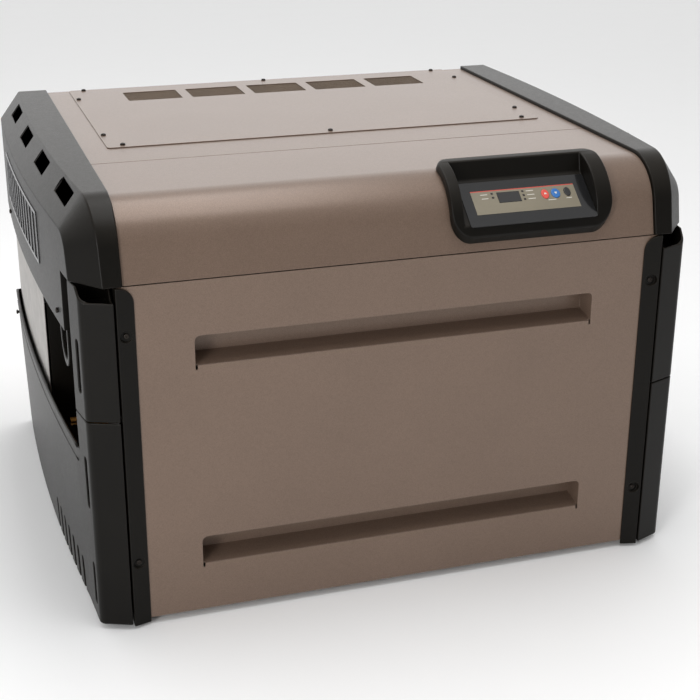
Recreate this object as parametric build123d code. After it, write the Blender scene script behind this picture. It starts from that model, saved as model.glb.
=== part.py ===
from build123d import *
import os
from math import ceil, cos, hypot, radians, sin, sqrt, tan

# Gas-fired pool heater in a low box cabinet.  Millimetres.
# X runs to the right of someone facing the front door, Y runs to the back, Z up.
# The origin is on the ground, half way between the sides and half way between
# the door face and the rear panel.

# ---------------------------------------------------------------- cabinet
DEPTH = 749.0               # door face to the back of the rear panel
TOP_Z = 605.0               # painted top sheet above the ground
CABINET_HALF = 380.0        # half the width of the painted sheet metal
SHEET = 1.5                 # painted steel sheet
SEAM_Z = 504.4              # hood to door seam
HOOD_DEPTH = 237.7          # hood to top panel seam, back from the door face
HOOD_LEAN = 13.3            # lean of the hood's front face from upright, degrees
HOOD_RADIUS = 71.0          # bend between the hood's top and its front
SEAM_GAP = 1.5              # gap at every seam between painted panels
SKIRT_Z = 10.8              # lower edge of the door above the ground

# ---------------------------------------------------------------- side covers
BULGE = 87.0                # widest part of a cover out from the sheet metal
BOW_RADIUS = 4600.0         # plan radius of the bowed side faces
BOW_PEAK = 500.0            # widest place, back from the door face
WALL = 3.0                  # moulded plastic wall
RIM_PROUD = 5.0             # rim of the upper cover above the top sheet
RIM_GAP = 0.6               # between the rim and the sheet metal
BEVEL_DROP = 44.0           # bevel of the upper cover, down from the rim
BEVEL_OUT = 33.0            # bevel of the upper cover, in from the side face
OPENING_TOP = 420.0         # lower edge of the upper cover
OPENING_BOTTOM = 258.0      # upper edge of the lower cover
SKIRT_BOTTOM = 8.0          # lower edge of the lower cover
DRAFT = 8.0                 # the lower cover draws in by this at its bottom
LEFT_SPLIT = 317.0          # seam between post and lower cover, left side
RIGHT_SPLIT = 275.0         # the same seam on the right side
POST_DEPTH = 84.0           # corner post, back from the door face
POST_TOP = 502.0            # top of the corner posts
RIDGE_PROUD = 8.0           # ridge between strip and post, ahead of the door
RIDGE_HALF = 391.0          # half the width between the two ridges
STRIP_GAP = 2.5             # dark gap between a door strip and its post
PART_GAP = 0.6              # gap between two plastic mouldings
SPLIT_GAP = 1.5             # seam between a post and the lower cover
BEVEL_VENT = (75.0, 22.0)   # vents in the upper cover's bevel, along it and down it
BEVEL_VENT_RADIUS = 2.0
BEVEL_VENT_DOWN = 17.0      # middle of a vent, down the bevel from the rim
BEVEL_VENT_COUNT = 4
BEVEL_VENT_FIRST = 138.0    # first vent, back from the door face
BEVEL_VENT_PITCH = 165.5
RIM_LIP = 16.0              # depth of the rim's inner lip
HOOK_D = 160.0              # hose hook, back from the door face
HOOK_WIDE = 84.0
HOOK_HIGH = 160.0
HOOK_DROP = 78.0            # hook below the upper cover
HOOK_BAR = 9.0
HOOK_INSET = 16.0           # hook in from the side face
COVER_SCREW_D = (120.0, 620.0)
COVER_SCREW_IN = 18.0       # cover screws above the upper cover's lower edge
POST_CORNER_HALF = 436.0    # outer front corner of a post
POST_CORNER_D = 8.0         # that corner, back from the door face
POST_RADIUS = 13.0
POST_REAR = 56.0            # rear edge of a corner post, back from the door face
POST_FRONT_Z = 484.5        # top of a post at its front edge
POST_SLOPE_D = (6.0, 24.0)  # the post's top edge rises between these depths
POST_CUP = 14.0             # hollow in a post's top, below its front edge
POST_STEP = 30.0            # a post is wider behind this depth
SLOT_WIDE = 12.0            # upright slots in the corner mouldings
SLOT_D = 29.0
UPPER_SLOT = (352.0, 428.0)
LOWER_SLOTS = ((181.0, 258.0), (30.0, 96.0))
FLUTE_COUNT = 7             # louvres at the foot of a lower cover
FLUTE_FIRST = 110.0
FLUTE_PITCH = 32.0
FLUTE_WIDE = 12.0
FLUTE_Z = (16.0, 57.0)
REAR_SCREW_IN = 41.0        # rear screw of a lower cover, in from the rear panel
REAR_SCREW_DOWN = 29.0      # that screw, below the lower cover's upper edge
SCREW_R = 2.4               # sheet metal screws
SCREW_FIT = 0.3
SKIN_GAP = 0.2              # pieces that lie on one another
BADGE_D = (238.0, 600.0)    # bright badge on each side, back from the door face
BADGE_Z = (467.0, 543.0)
BADGE_THICK = 1.8
BADGE_BAR = 4.0
BADGE_BAYS = 12
SCREW_LONG = 9.0
SCREW_SEAT = 0.6            # head above the bowed face
HEAD_R = 3.8
HEAD_HIGH = 2.6
CROSS_WIDE = 1.1

# ---------------------------------------------------------------- door
STRIP_IN = 366.5            # inner edge of a door strip
POCKET_HALF = 289.2         # half the length of a grip pocket
POCKET_HIGH = 42.0          # height of a grip pocket
POCKET_DEEP = 36.0          # depth of a grip pocket
POCKET_RADIUS = 8.0         # upper corners of a grip pocket
UPPER_POCKET_Z = 404.6      # centre of the upper grip pocket
LOWER_POCKET_Z = 104.8      # centre of the lower grip pocket
STRIP_SCREW_X = 379.0       # door screws out from the middle
STRIP_SCREW_Z = (103.0, 437.0)
STRIP_EDGE = 1.8            # thickness of a strip at its inner edge
STRIP_WALL = 2.4
STRIP_FLOOR = 1.2           # floor of a screw well
STRIP_FOOT = 5.0            # lower end of a strip above the ground
STRIP_RADIUS = 22.0         # rounded upper inner corner of a strip
WELL_R = 8.5                # screw well in a strip
DOOR_FLANGE = 16.0          # depth of the door's edge flanges
DOOR_SCREW_LONG = 24.0
PAN_FLANGE = 8.0            # glued edge of a grip pan
SLIT_WIDE = 3.0             # relief slits at a pocket's lower corners
SLIT_LONG = 6.0
POCKET_RISE = 7.0           # rise of a pocket's floor to its back

# ---------------------------------------------------------------- sheet metal
SKID_HIGH = 18.0
SKID_WIDE = 60.0
SKID_STEEL = 2.0
SKID_IN = 20.0              # skid ends in from the sheet metal
SKID_Y = 270.0              # outer skids from the middle one
ANCHOR_X = 340.0            # anchor holes from the middle
ANCHOR_R = 5.5
ANCHOR_ACCESS_R = 16.0
PAN_FRONT = 24.0            # front of the base pan, back from the door face
PAN_HIGH = 44.0
SIDE_PANEL_X = 376.0        # inner face of a side panel
SIDE_PANEL_FRONT = 20.0
FLANGE_BEYOND = 7.0         # side panel's front flange beyond the door screws
CONDUIT_R = 11.1            # half inch conduit knockout
CONDUIT_D = 120.0
CONDUIT_Z = 300.0
REAR_SLOTS = 9
REAR_SLOT_HALF = 300.0
REAR_SLOT_HIGH = 9.0
REAR_SLOT_Z = (90.0, 120.0, 470.0, 500.0)
PLATE_IN = 9.0              # service plate in from the side face
PLATE_LAP = 30.0            # service plate below the opening's lower edge
LEFT_PLATE_FRONT = 300.0    # front edge of the left service plate
RIGHT_PLATE_FRONT = 460.0
BAFFLE_LOW = 30.0           # lower end of the baffles behind the connection openings
BULKHEAD_D = 205.0          # bulkhead, back from the door face
TOP_FLANGE = 14.0
LID_HALF = 343.0
LID_FRONT = 320.0
LID_REAR_IN = 3.0           # lid's rear edge in from the rear panel
LID_CLIP = 4.0              # clipped corners
LID_SCREW_IN = 13.0
LID_CORNER = 18.0           # corner screws in from the side screws
LID_SIDE_SCREW = 81.0       # side screws from the lid's front and rear
VENT_COUNT = 5
VENT_WIDE = 90.7
VENT_LONG = 68.7
VENT_PITCH = 108.1
VENT_SHIFT = 4.2            # vents stand a little right of the middle
VENT_REAR = 45.4            # vents in from the rear panel
VENT_CORNER = 3.0
SCREEN_LAP = 5.0
SCREEN_THICK = 1.0
SCREEN_SLOT = 4.0
SCREEN_SLOTS = 12

# ---------------------------------------------------------------- controls
BEZEL_LEFT = 70.0
BEZEL_RIGHT = 311.0
BEZEL_PROUD = 13.0          # frame above the hood surface
BEZEL_RIM = 17.0            # width of the frame around its opening
LABEL_D = 23.5              # centre of the sloping floor, back from the door face
LABEL_Z = 564.0             # centre of the sloping floor
LABEL_TILT = 37.8           # slope of the floor from level, degrees
LABEL_LENGTH = 84.8         # length of the floor along its slope
BEZEL_BACK = 66.0           # back wall of the recess, back from the door face
BEZEL_ALONG = (-47.0, 74.0)  # frame's ends along the label slope
BEZEL_UPPER_RADIUS = 18.0
BEZEL_LOWER_RADIUS = 30.0
BEZEL_REACH = 90.0
CUP_WALL = 2.5              # walls of the recess
PLATE_LONG = 190.0          # black faceplate
PLATE_ALONG = (-38.0, 36.0)
PLATE_THICK = 1.5
LABEL_WIDE = 156.0          # beige label
LABEL_ALONG = (-19.0, 20.5)
LABEL_SHIFT = -2.5
LABEL_THICK = 0.4
BUTTON_FIT = 0.3
BUTTON_PROUD = 1.6
BUTTON_STEM = 1.8
BUTTON_FLANGE = 1.2
BUTTONS = {                 # across, up the slope, half width, half height
    "up_button": (28.5, 6.5, 5.5, 8.0),
    "down_button": (44.5, 6.5, 6.5, 8.0),
    "mode_button": (62.5, 7.5, 4.8, 7.5),
}
DISPLAY_AT = (-25.7, 7.0)
DISPLAY_SIZE = (33.0, 17.0)
LED_R = 1.6
LED_AT = ((-49.5, 14.7), (-49.5, 8.0), (-3.5, 14.7), (-3.5, 8.0), (-3.5, 1.2))
BOARD_ALONG = (-6.0, 20.0)  # window in the recess floor above the board
BOARD_LONG = 160.0
BOARD_SHIFT = 1.0
BOARD_TOP = -4.2            # board below the recess floor
BOARD_THICK = 1.6
BOSS_R = 3.0
BOSS_HIGH = 1.5
CONTROL_X = (-300.0, 30.0)  # control box
CONTROL_D = 110.0
CONTROL_Z = (430.0, 560.0)
BOARD_STAND = 6.0
BOARD_EDGE = 12.0
RELAY_COUNT = 4
RELAY_PITCH = 38.0
RELAY_HIGH = 18.0

# ---------------------------------------------------------------- heat train
CHAMBER_FRONT = 215.0       # combustion chamber, back from the door face
CHAMBER_REAR_SPACE = 99.0   # chamber to the back of the rear panel
CHAMBER_HALF = 305.0
CHAMBER_Z = (122.0, 330.0)
TUBE_Z = 352.0              # axis of the exchanger tubes
TUBE_R = 14.0
TUBE_COUNT = 8
HEADER_HALF = 395.0         # outer face of the water headers
PORT_R = 30.26              # 2 inch socket
PORT_DEEP = 38.0
PORT_PITCH = 135.0          # between inlet and outlet
FIRST_PORT = 262.0          # outlet, back from the door face
RUN_FIT = 0.06              # radial clearance of a running fit
CHAMBER_TOP = 375.5
TUBE_EDGE = 30.0
TUBE_WALL = 1.5
TUBE_STUB = 4.0             # tube ends beyond the tube sheets
TUBE_SHEET_X = 330.0
TUBE_SHEET_THICK = 8.0
FIN_PITCH = 20.0
FIN_THICK = 0.8
FIN_HALF = 20.0
FIN_FIT = 0.1
BOARD_REFRACTORY = 25.0
HEADER_HIGH = 76.0
HEADER_WALL = 7.0
HEADER_WINDOW_FIT = 3.0
NECK_R = 36.0
NECK_BORE = 26.0
NECK_LONG = 16.0
TAIL_R = 36.0
TAIL_FLANGE = 5.0
TAIL_STOP = 14.0
NUT_BORE = 41.0
NUT_R = 46.0
NUT_LIP = 5.0
NUT_RIB = 1.6
NUT_RIBS = 16
SHELF_D = 329.0             # bypass shelf between the two water passes
SHELF_HALF = 20.0
SHELF_Z = 340.0
BYPASS_X = 364.0
BYPASS_R = 8.0
BYPASS_LIFT = 6.0
BYPASS_BOSS = 14.0
POPPET_THICK = 3.0
STEM_R = 2.5
SPRING_R = 6.5
SPRING_WIRE = 0.7
SPRING_TURNS = 6
DRAIN_X = 386.0
DRAIN_D = 235.0
DRAIN_Z = 220.0
DRAIN_R = 7.0
DRAIN_HEX = 20.0
DRAIN_OUT = 424.0
DRAIN_NOSE = 10.0
DRAIN_STEM_X = 412.0
WING_HALF = 10.0
WING_HIGH = 9.0
FLUE_OUT = 5.0
FLUE_Z = 470.0

# ---------------------------------------------------------------- air and gas
BLOWER_AT = (230.0, 280.0)  # X and Z of the blower's axis
BLOWER_D = 100.0
BLOWER_DEEP = 60.0
BLOWER_R = 85.0
OUTLET_WIDE = 56.0
INTAKE_R = 50.0
MOTOR_R = 42.0
MOTOR_LONG = 60.0
SHAFT_R = 5.0
WHEEL_R = 72.0
BLADE_LONG = 14.0
BLADE_THICK = 1.6
BLADE_COUNT = 24
HUB_LONG = 16.0
DUCT_TOP = 150.0
DUCT_Z = (48.0, 84.0)
GAS_D = 150.0
GAS_Z = 300.0
GAS_R = 13.35               # three-quarter inch pipe
GAS_WALL = 2.9
GAS_OUT = 407.0             # outer end of the gas pipe's coupling
GAS_COUPLING = 24.0         # length of the coupling
COUPLING_HEX = 36.0
GAS_THREAD = 20.0           # depth of its threaded socket
THREAD_R = 12.1             # three-quarter inch pipe thread, at its crests
VALVE_X = -150.0
VALVE_HALF = 36.0
VALVE_BOSS = 8.0
KNOB_R = 15.0
KNOB_HIGH = 16.0
KNOB_STEM = 12.0
KNOB_SHAFT_R = 4.0
BURNER_COUNT = 8
BURNER_EDGE = 50.0
BURNER_R = 12.0
BURNER_Z = 100.0
MANIFOLD_R = 10.0
MANIFOLD_D = 185.0
JET_R = 4.0
IGNITER_X = 36.0
IGNITER_Z = 140.0
IGNITER_R = 6.0
IGNITER_OUT = 20.0
IGNITER_IN = 60.0
WIRE_R = 4.0
WIRE_BEND = 20.0
WIRE_DROP = 26.0
WIRE_IN = 20.0


def at(depth):
    """Y of a place this far back from the door face."""
    return depth - DEPTH / 2


def block(x, y, z):
    """Box between low and high values along each axis."""
    size = [high - low for low, high in (x, y, z)]
    centre = [(low + high) / 2 for low, high in (x, y, z)]
    return Pos(*centre) * Box(*size)


def rod(start, end, radius):
    """Round bar from one point to another."""
    axis = Vector(*end) - Vector(*start)
    return extrude(Plane(origin=start, z_dir=axis) * Circle(radius), axis.length)


def tube(start, end, radius, wall):
    """Round pipe from one point to another."""
    axis = Vector(*end) - Vector(*start)
    ring = Circle(radius) - Circle(radius - wall)
    return extrude(Plane(origin=start, z_dir=axis) * ring, axis.length)


def hexagon(start, end, across):
    """Hexagonal bar from one point to another, by its width across flats."""
    axis = Vector(*end) - Vector(*start)
    outline = RegularPolygon(across / 2, 6, major_radius=False)
    return extrude(Plane(origin=start, z_dir=axis) * outline, axis.length)


def tray(x, y, z, wall, open_side="top"):
    """Thin box that is open on one side."""
    inner = {"x": [x[0] + wall, x[1] - wall], "y": [y[0] + wall, y[1] - wall],
             "z": [z[0] + wall, z[1] - wall]}
    side = {"top": ("z", 1, z), "bottom": ("z", 0, z), "front": ("y", 0, y),
            "back": ("y", 1, y), "left": ("x", 0, x), "right": ("x", 1, x)}[open_side]
    inner[side[0]][side[1]] = side[2][side[1]]
    return block(x, y, z) - block(inner["x"], inner["y"], inner["z"])


def mirrored(shape):
    """The same piece on the left side."""
    return mirror(shape, about=Plane.YZ)


def join(pieces):
    """One shape from several, fused where they touch."""
    pieces = list(pieces)
    return pieces[0] + pieces[1:] if len(pieces) > 1 else pieces[0]


def group(pieces):
    """Separate solids kept together in one node."""
    return Compound(children=[solid for piece in pieces for solid in piece.solids()])


def save(name, shape):
    export_step(shape, "parts/" + name + ".step")


# ---------------------------------------------------------------- hood shape
def hood_front(z, grow=0.0):
    """Depth of the hood's leaning front face at a height."""
    lean = radians(HOOD_LEAN)
    return (z - SEAM_Z) * tan(lean) - grow / cos(lean)


def hood_side(grow, rear, bottom, top_cut=0.0):
    """Side view of all that lies under the hood line, grown by an offset."""
    top = TOP_Z + grow
    corner = (at(hood_front(top, grow)), top)
    foot = (at(hood_front(bottom, grow)), bottom)
    line = FilletPolyline((at(rear), top), corner, foot, radius=HOOD_RADIUS + grow)
    back = Polyline(foot, (at(rear), bottom), (at(rear), top))
    return Plane.YZ * make_face([line, back])


def along_x(face, low, high):
    """Extrude a side view from one X to another."""
    return Pos(low, 0, 0) * extrude(face, high - low, dir=(1, 0, 0))


def outer_half():
    """Half of the overall width."""
    return CABINET_HALF + BULGE


def side_x(depth, inset=0.0):
    """X of the right side face at a depth."""
    radius = BOW_RADIUS - inset
    return outer_half() - BOW_RADIUS + sqrt(radius ** 2 - (depth - BOW_PEAK) ** 2)


def bow_cylinder(inset, low, high, draft=0.0):
    """Everything inside the bowed side face; it draws in by draft at its foot."""
    centre = (outer_half() - BOW_RADIUS, at(BOW_PEAK))
    radius = BOW_RADIUS - inset
    seat = (Align.CENTER, Align.CENTER, Align.MIN)
    if draft == 0:
        return Pos(*centre, low) * Cylinder(radius, high - low, align=seat)
    return Pos(*centre, low) * Cone(radius - draft, radius, high - low, align=seat)


# ---------------------------------------------------------------- upper cover
def upper_form(inset):
    """Upper cover as a full block, every outside wall moved in by inset."""
    rim_in = CABINET_HALF + RIM_GAP
    under = OPENING_TOP + inset
    view = hood_side(RIM_PROUD - inset, DEPTH - inset, SEAM_Z + inset)
    skirt = block((rim_in, outer_half() + 1), (at(POST_DEPTH + PART_GAP + inset), at(DEPTH - inset)),
                  (under, SEAM_Z + 2 * inset + 1))
    form = along_x(view, rim_in, outer_half() + 1) + skirt
    form = form & bow_cylinder(inset, OPENING_TOP - 1, TOP_Z + RIM_PROUD + 1)
    slope = sqrt(1 / BEVEL_DROP ** 2 + 1 / BEVEL_OUT ** 2) - 1 / BEVEL_DROP - 1 / BEVEL_OUT
    scale = 1 + inset * slope
    round_faces = form.faces().filter_by(GeomType.CYLINDER)
    side = max(round_faces, key=lambda face: face.area)
    rim = [edge for edge in side.edges() if is_rim_edge(edge, inset)]
    return chamfer(rim, BEVEL_DROP * scale, BEVEL_OUT * scale, reference=side)


def is_rim_edge(edge, inset):
    """True for the side face's upper and front edges."""
    middle = edge @ 0.5
    foot = min((edge @ 0).Z, (edge @ 1).Z)
    on_top = abs(middle.Z - (TOP_Z + RIM_PROUD - inset)) < 0.5
    on_bend = middle.Y < at(HOOD_RADIUS) and middle.Z > SEAM_Z + inset + 1
    return on_top or (on_bend and foot > SEAM_Z - 1)



def bevel_vent(depth):
    """Cutter for one vent in the bevel."""
    slope = hypot(BEVEL_DROP, BEVEL_OUT)
    share = BEVEL_VENT_DOWN / slope
    centre = (side_x(depth) - BEVEL_OUT * (1 - share), at(depth), TOP_Z + RIM_PROUD - BEVEL_DROP * share)
    outline = RectangleRounded(*BEVEL_VENT, BEVEL_VENT_RADIUS)
    plane = Plane(origin=centre, x_dir=(0, 1, 0), z_dir=(BEVEL_DROP, 0, BEVEL_OUT))
    return extrude(plane * outline, 4 * WALL, both=True)


def hose_hook():
    """Loop that hangs from the upper cover into the connection opening."""
    loop = RectangleRounded(HOOK_WIDE, HOOK_HIGH, HOOK_WIDE / 2 - 1)
    loop -= RectangleRounded(HOOK_WIDE - 2 * HOOK_BAR, HOOK_HIGH - 2 * HOOK_BAR, HOOK_WIDE / 2 - HOOK_BAR - 1)
    x = side_x(HOOK_D) - HOOK_INSET
    plane = Plane(origin=(x, at(HOOK_D), OPENING_TOP + HOOK_HIGH / 2 - HOOK_DROP), x_dir=(0, 1, 0), z_dir=(1, 0, 0))
    keep = block((x - WALL, x + 2 * WALL), (at(HOOK_D) - HOOK_WIDE, at(HOOK_D) + HOOK_WIDE),
                 (OPENING_TOP - HOOK_DROP - 1, OPENING_TOP + WALL / 2))
    return extrude(plane * loop, WALL) & keep


def upper_cover():
    """Moulded cover over the side of the hood, with a bevelled rim."""
    cover = upper_form(0) - upper_form(WALL)
    rim_in = CABINET_HALF + RIM_GAP
    lip = hood_side(RIM_PROUD, DEPTH, SEAM_Z) - hood_side(RIM_PROUD - RIM_LIP, DEPTH - RIM_LIP, SEAM_Z + RIM_LIP)
    cover += along_x(lip, rim_in, rim_in + WALL)
    cover += hose_hook()
    for index in range(BEVEL_VENT_COUNT):
        cover -= bevel_vent(BEVEL_VENT_FIRST + index * BEVEL_VENT_PITCH)
    for depth in COVER_SCREW_D:
        centre = (side_x(depth), at(depth), OPENING_TOP + COVER_SCREW_IN)
        cover -= rod((centre[0] - 2 * WALL, centre[1], centre[2]), (centre[0] + WALL, centre[1], centre[2]),
                     SCREW_R + SCREW_FIT)
    return cover.solid()


# ---------------------------------------------------------------- corner posts
def post_plan(inset, rear, draft=0.0):
    """Plan of the corner moulding from its ridge to a depth behind it."""
    corner = POST_CORNER_HALF - inset
    inner = RIDGE_HALF + STRIP_GAP + inset
    side = side_x(POST_DEPTH) - inset - draft
    front = POST_CORNER_D + inset
    points = [(inner, at(-RIDGE_PROUD + inset)), (corner, at(front)), (side, at(POST_DEPTH))]
    if rear > POST_DEPTH:
        run = Polyline(*points)
        middle = (POST_DEPTH + rear) / 2
        bow = ThreePointArc(points[-1], (side_x(middle) - inset - draft, at(middle)),
                            (side_x(rear) - inset - draft, at(rear)))
        tail = Polyline((side_x(rear) - inset - draft, at(rear)), *post_return(inset, rear), points[0])
        face = make_face([run, bow, tail])
    else:
        face = make_face([Polyline(*points, *post_return(inset, rear), points[0])])
    bend = face.vertices().sort_by_distance((corner, at(front), 0))[0]
    return fillet(bend, POST_RADIUS - inset)


def post_return(inset, rear):
    """The corner moulding's inner edges."""
    wall_x = CABINET_HALF + PART_GAP + 1 - (1 if inset else 0)
    inner = RIDGE_HALF + STRIP_GAP + inset
    return [(wall_x, at(rear)), (wall_x, at(POST_STEP + inset)), (inner, at(POST_STEP + inset))]


def side_slot(low, high, draft=0.0):
    """Cutter for an upright slot near the front of the corner moulding's side."""
    shape = SlotOverall(high - low, SLOT_WIDE)
    x = POST_CORNER_HALF - draft
    plane = Plane(origin=(x - 3 * WALL, at(SLOT_D), (low + high) / 2), x_dir=(0, 0, 1), z_dir=(1, 0, 0))
    return extrude(plane * shape, 6 * WALL)


def corner_post(split):
    """Right post above the lower cover. Its top is a cup with a rim that rises to the back."""
    low = split + SPLIT_GAP / 2
    floor = POST_FRONT_Z - POST_CUP
    post = Pos(0, 0, low) * extrude(post_plan(0, POST_DEPTH), POST_TOP - low)
    hollow = post_plan(WALL, POST_DEPTH)
    post -= Pos(0, 0, low - 1) * extrude(hollow, floor - WALL - low + 1)
    cup_keep = block((CABINET_HALF, POST_CORNER_HALF + POST_RADIUS), (at(-RIDGE_PROUD), at(POST_REAR - WALL)),
                     (floor, POST_TOP + 1))
    post -= Pos(0, 0, floor) * extrude(hollow, POST_TOP - floor + 1) & cup_keep
    front = at(-RIDGE_PROUD - 1)
    slope = Polyline((front, POST_FRONT_Z), (at(POST_SLOPE_D[0]), POST_FRONT_Z), (at(POST_SLOPE_D[1]), POST_TOP),
                     (at(POST_SLOPE_D[1]), POST_TOP + 1), (front, POST_TOP + 1), (front, POST_FRONT_Z))
    post -= along_x(Plane.YZ * make_face(slope), CABINET_HALF, outer_half())
    post -= block((CABINET_HALF, outer_half()), (at(POST_REAR), at(POST_DEPTH + 1)), (low - 1, POST_TOP + 1))
    post -= block((CABINET_HALF, POST_CORNER_HALF - POST_RADIUS), (at(POST_STEP + WALL), at(POST_DEPTH + 1)),
                  (low - 1, floor - WALL))
    return (post - side_slot(*UPPER_SLOT)).solid()


# ---------------------------------------------------------------- lower cover
def lower_form(inset, low, high, split):
    """Lower cover and its corner as one drafted block."""
    rear = DEPTH - inset
    spread = DRAFT * (high - low) / (split - SKIRT_BOTTOM)
    foot = Pos(0, 0, low) * post_plan(inset, rear, spread)
    head = Pos(0, 0, high) * post_plan(inset, rear)
    return loft([foot, head], ruled=True)


def flute(index):
    """Cutter for one louvre near the foot of the lower cover."""
    depth = FLUTE_FIRST + index * FLUTE_PITCH
    x = side_x(depth) - DRAFT
    slot = block((x - 2 * WALL, x + 3 * WALL), (at(depth - FLUTE_WIDE / 2), at(depth + FLUTE_WIDE / 2)),
                 FLUTE_Z)
    slot += rod((x - 2 * WALL, at(depth), FLUTE_Z[1]), (x + 3 * WALL, at(depth), FLUTE_Z[1]), FLUTE_WIDE / 2)
    groove = rod((x + FLUTE_WIDE / 4, at(depth), SKIRT_BOTTOM - 1), (x + FLUTE_WIDE / 4, at(depth), FLUTE_Z[1]),
                 FLUTE_WIDE / 2)
    return slot + groove


def lower_cover(split):
    """Moulded cover over the lower half of the side, with its corner."""
    high = split - SPLIT_GAP / 2
    cover = lower_form(0, SKIRT_BOTTOM, high, split) - lower_form(WALL, SKIRT_BOTTOM, high, split)
    above = block((CABINET_HALF - 1, outer_half() + 1), (at(POST_REAR), at(DEPTH + 1)),
                  (OPENING_BOTTOM, split + 1))
    cover -= above
    for index in range(FLUTE_COUNT):
        cover -= flute(index)
    for low, high in LOWER_SLOTS:
        cover -= side_slot(low, high, DRAFT / 2)
    x = side_x(rear_screw_depth())
    cover -= rod((x - 2 * WALL, at(rear_screw_depth()), OPENING_BOTTOM - REAR_SCREW_DOWN),
                 (x + WALL, at(rear_screw_depth()), OPENING_BOTTOM - REAR_SCREW_DOWN), SCREW_R + SCREW_FIT)
    return max(cover.solids(), key=lambda solid: solid.volume)


def rear_screw_depth():
    """Depth of the screw near the lower cover's rear edge."""
    return DEPTH - REAR_SCREW_IN



# ---------------------------------------------------------------- badges, screws
def side_badge():
    """Bright frame with upright bars on the bowed side face."""
    low_d, high_d = BADGE_D
    low_z, high_z = BADGE_Z
    band = bow_cylinder(-BADGE_THICK, low_z, high_z) - bow_cylinder(-SKIN_GAP, low_z - 1, high_z + 1)
    badge = band & block((CABINET_HALF, outer_half() + 9), (at(low_d), at(high_d)), (low_z, high_z))
    bay = (high_d - low_d - BADGE_BAR) / BADGE_BAYS
    for index in range(BADGE_BAYS):
        start = low_d + BADGE_BAR + index * bay
        badge -= block((CABINET_HALF, outer_half() + 9), (at(start), at(start + bay - BADGE_BAR)),
                       (low_z + BADGE_BAR, high_z - BADGE_BAR))
    return badge.solid()


def screw(seat, direction, length=SCREW_LONG):
    """Pan head screw: seat is the point under its head, direction leaves the head's top."""
    out = Vector(*direction)
    seat = Vector(*seat)
    top = seat + out * HEAD_HIGH
    head = rod(tuple(seat), tuple(top), HEAD_R)
    head = fillet(head.edges().filter_by(GeomType.CIRCLE).sort_by(lambda e: e.center().dot(out))[-1], HEAD_HIGH * 0.6)
    plane = Plane(origin=tuple(top), z_dir=tuple(out))
    cross = Rectangle(HEAD_R * 1.2, CROSS_WIDE) + Rectangle(CROSS_WIDE, HEAD_R * 1.2)
    head -= extrude(plane * cross, -HEAD_HIGH / 2)
    return head + rod(tuple(seat - out * length), tuple(seat), SCREW_R)


def lid_screw_places():
    """X and depth of the screws that hold the exhaust lid."""
    front = LID_FRONT + LID_SCREW_IN
    rear = DEPTH - LID_REAR_IN - LID_SCREW_IN / 2
    side = LID_HALF - LID_SCREW_IN / 2
    places = [(0, front), (0, rear)]
    for sign in (-1, 1):
        places += [(sign * (side - LID_CORNER), front), (sign * (side - LID_CORNER), rear)]
        places += [(sign * side, depth) for depth in (LID_FRONT + LID_SIDE_SCREW, DEPTH - LID_SIDE_SCREW)]
    return places


def cover_screw_places():
    """Depth and height of the screws in the right side covers."""
    upper = [(depth, OPENING_TOP + COVER_SCREW_IN) for depth in COVER_SCREW_D]
    return upper + [(rear_screw_depth(), OPENING_BOTTOM - REAR_SCREW_DOWN)]


def cabinet_screws():
    """Screws that hold the lid and the side covers."""
    lid_top = TOP_Z + SHEET
    pieces = [screw((x, at(depth), lid_top), (0, 0, 1)) for x, depth in lid_screw_places()]
    for depth, z in cover_screw_places():
        seat = side_x(depth) + SCREW_SEAT
        right = screw((seat, at(depth), z), (1, 0, 0))
        pieces += [right, mirrored(right)]
    return group(pieces)


# ---------------------------------------------------------------- door
def door_screw_places():
    return [(sign * STRIP_SCREW_X, z) for sign in (-1, 1) for z in STRIP_SCREW_Z]


def pocket_opening(z):
    """Front view of one grip pocket, with rounded upper corners."""
    face = Plane.XZ * (Pos(0, z) * Rectangle(2 * POCKET_HALF, POCKET_HIGH))
    upper = face.vertices().group_by(Axis.Z)[-1]
    return fillet(upper, POCKET_RADIUS)


def pocket_slits(z, depth):
    """Cutters for the relief slits at the lower corners of one grip pocket."""
    low = z - POCKET_HIGH / 2 - SLIT_LONG
    right = block((POCKET_HALF - SLIT_WIDE, POCKET_HALF), (at(-1), at(depth)), (low, low + 2 * SLIT_LONG))
    return [right, mirrored(right)]


def front_panel():
    """Painted door panel with two grip pockets."""
    edge = RIDGE_HALF - STRIP_WALL - PART_GAP
    panel = tray((-edge, edge), (at(0), at(DOOR_FLANGE)), (SKIRT_Z, SEAM_Z - SEAM_GAP), SHEET, "back")
    for z in (UPPER_POCKET_Z, LOWER_POCKET_Z):
        panel -= Pos(0, at(0), 0) * extrude(pocket_opening(z), 2 * SHEET, both=True)
        for slit in pocket_slits(z, 2 * SHEET):
            panel -= slit
    for x, z in door_screw_places():
        panel -= rod((x, at(-1), z), (x, at(SHEET + 1), z), SCREW_R + SCREW_FIT)
    return panel.solid()


def grip_pan(z):
    """Pressed pan behind a grip pocket; its floor rises to the back."""
    wall = SHEET
    half, high = POCKET_HALF + wall, POCKET_HIGH / 2 + wall
    front, back = at(SHEET), at(SHEET + POCKET_DEEP)
    pan = block((-half - PAN_FLANGE, half + PAN_FLANGE), (front, front + wall),
                (z - high - PAN_FLANGE, z + high + PAN_FLANGE))
    pan += block((-half, half), (front, back + wall), (z - high, z + high))
    low, top = z - POCKET_HIGH / 2, z + POCKET_HIGH / 2
    view = Plane.YZ * make_face(Polyline((front - 1, low), (front, low), (back, low + POCKET_RISE), (back, top),
                                         (front - 1, top), (front - 1, low)))
    pan -= along_x(view, -POCKET_HALF, POCKET_HALF)
    for slit in pocket_slits(z, 3 * SHEET):
        pan -= slit
    return pan.solid()


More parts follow.
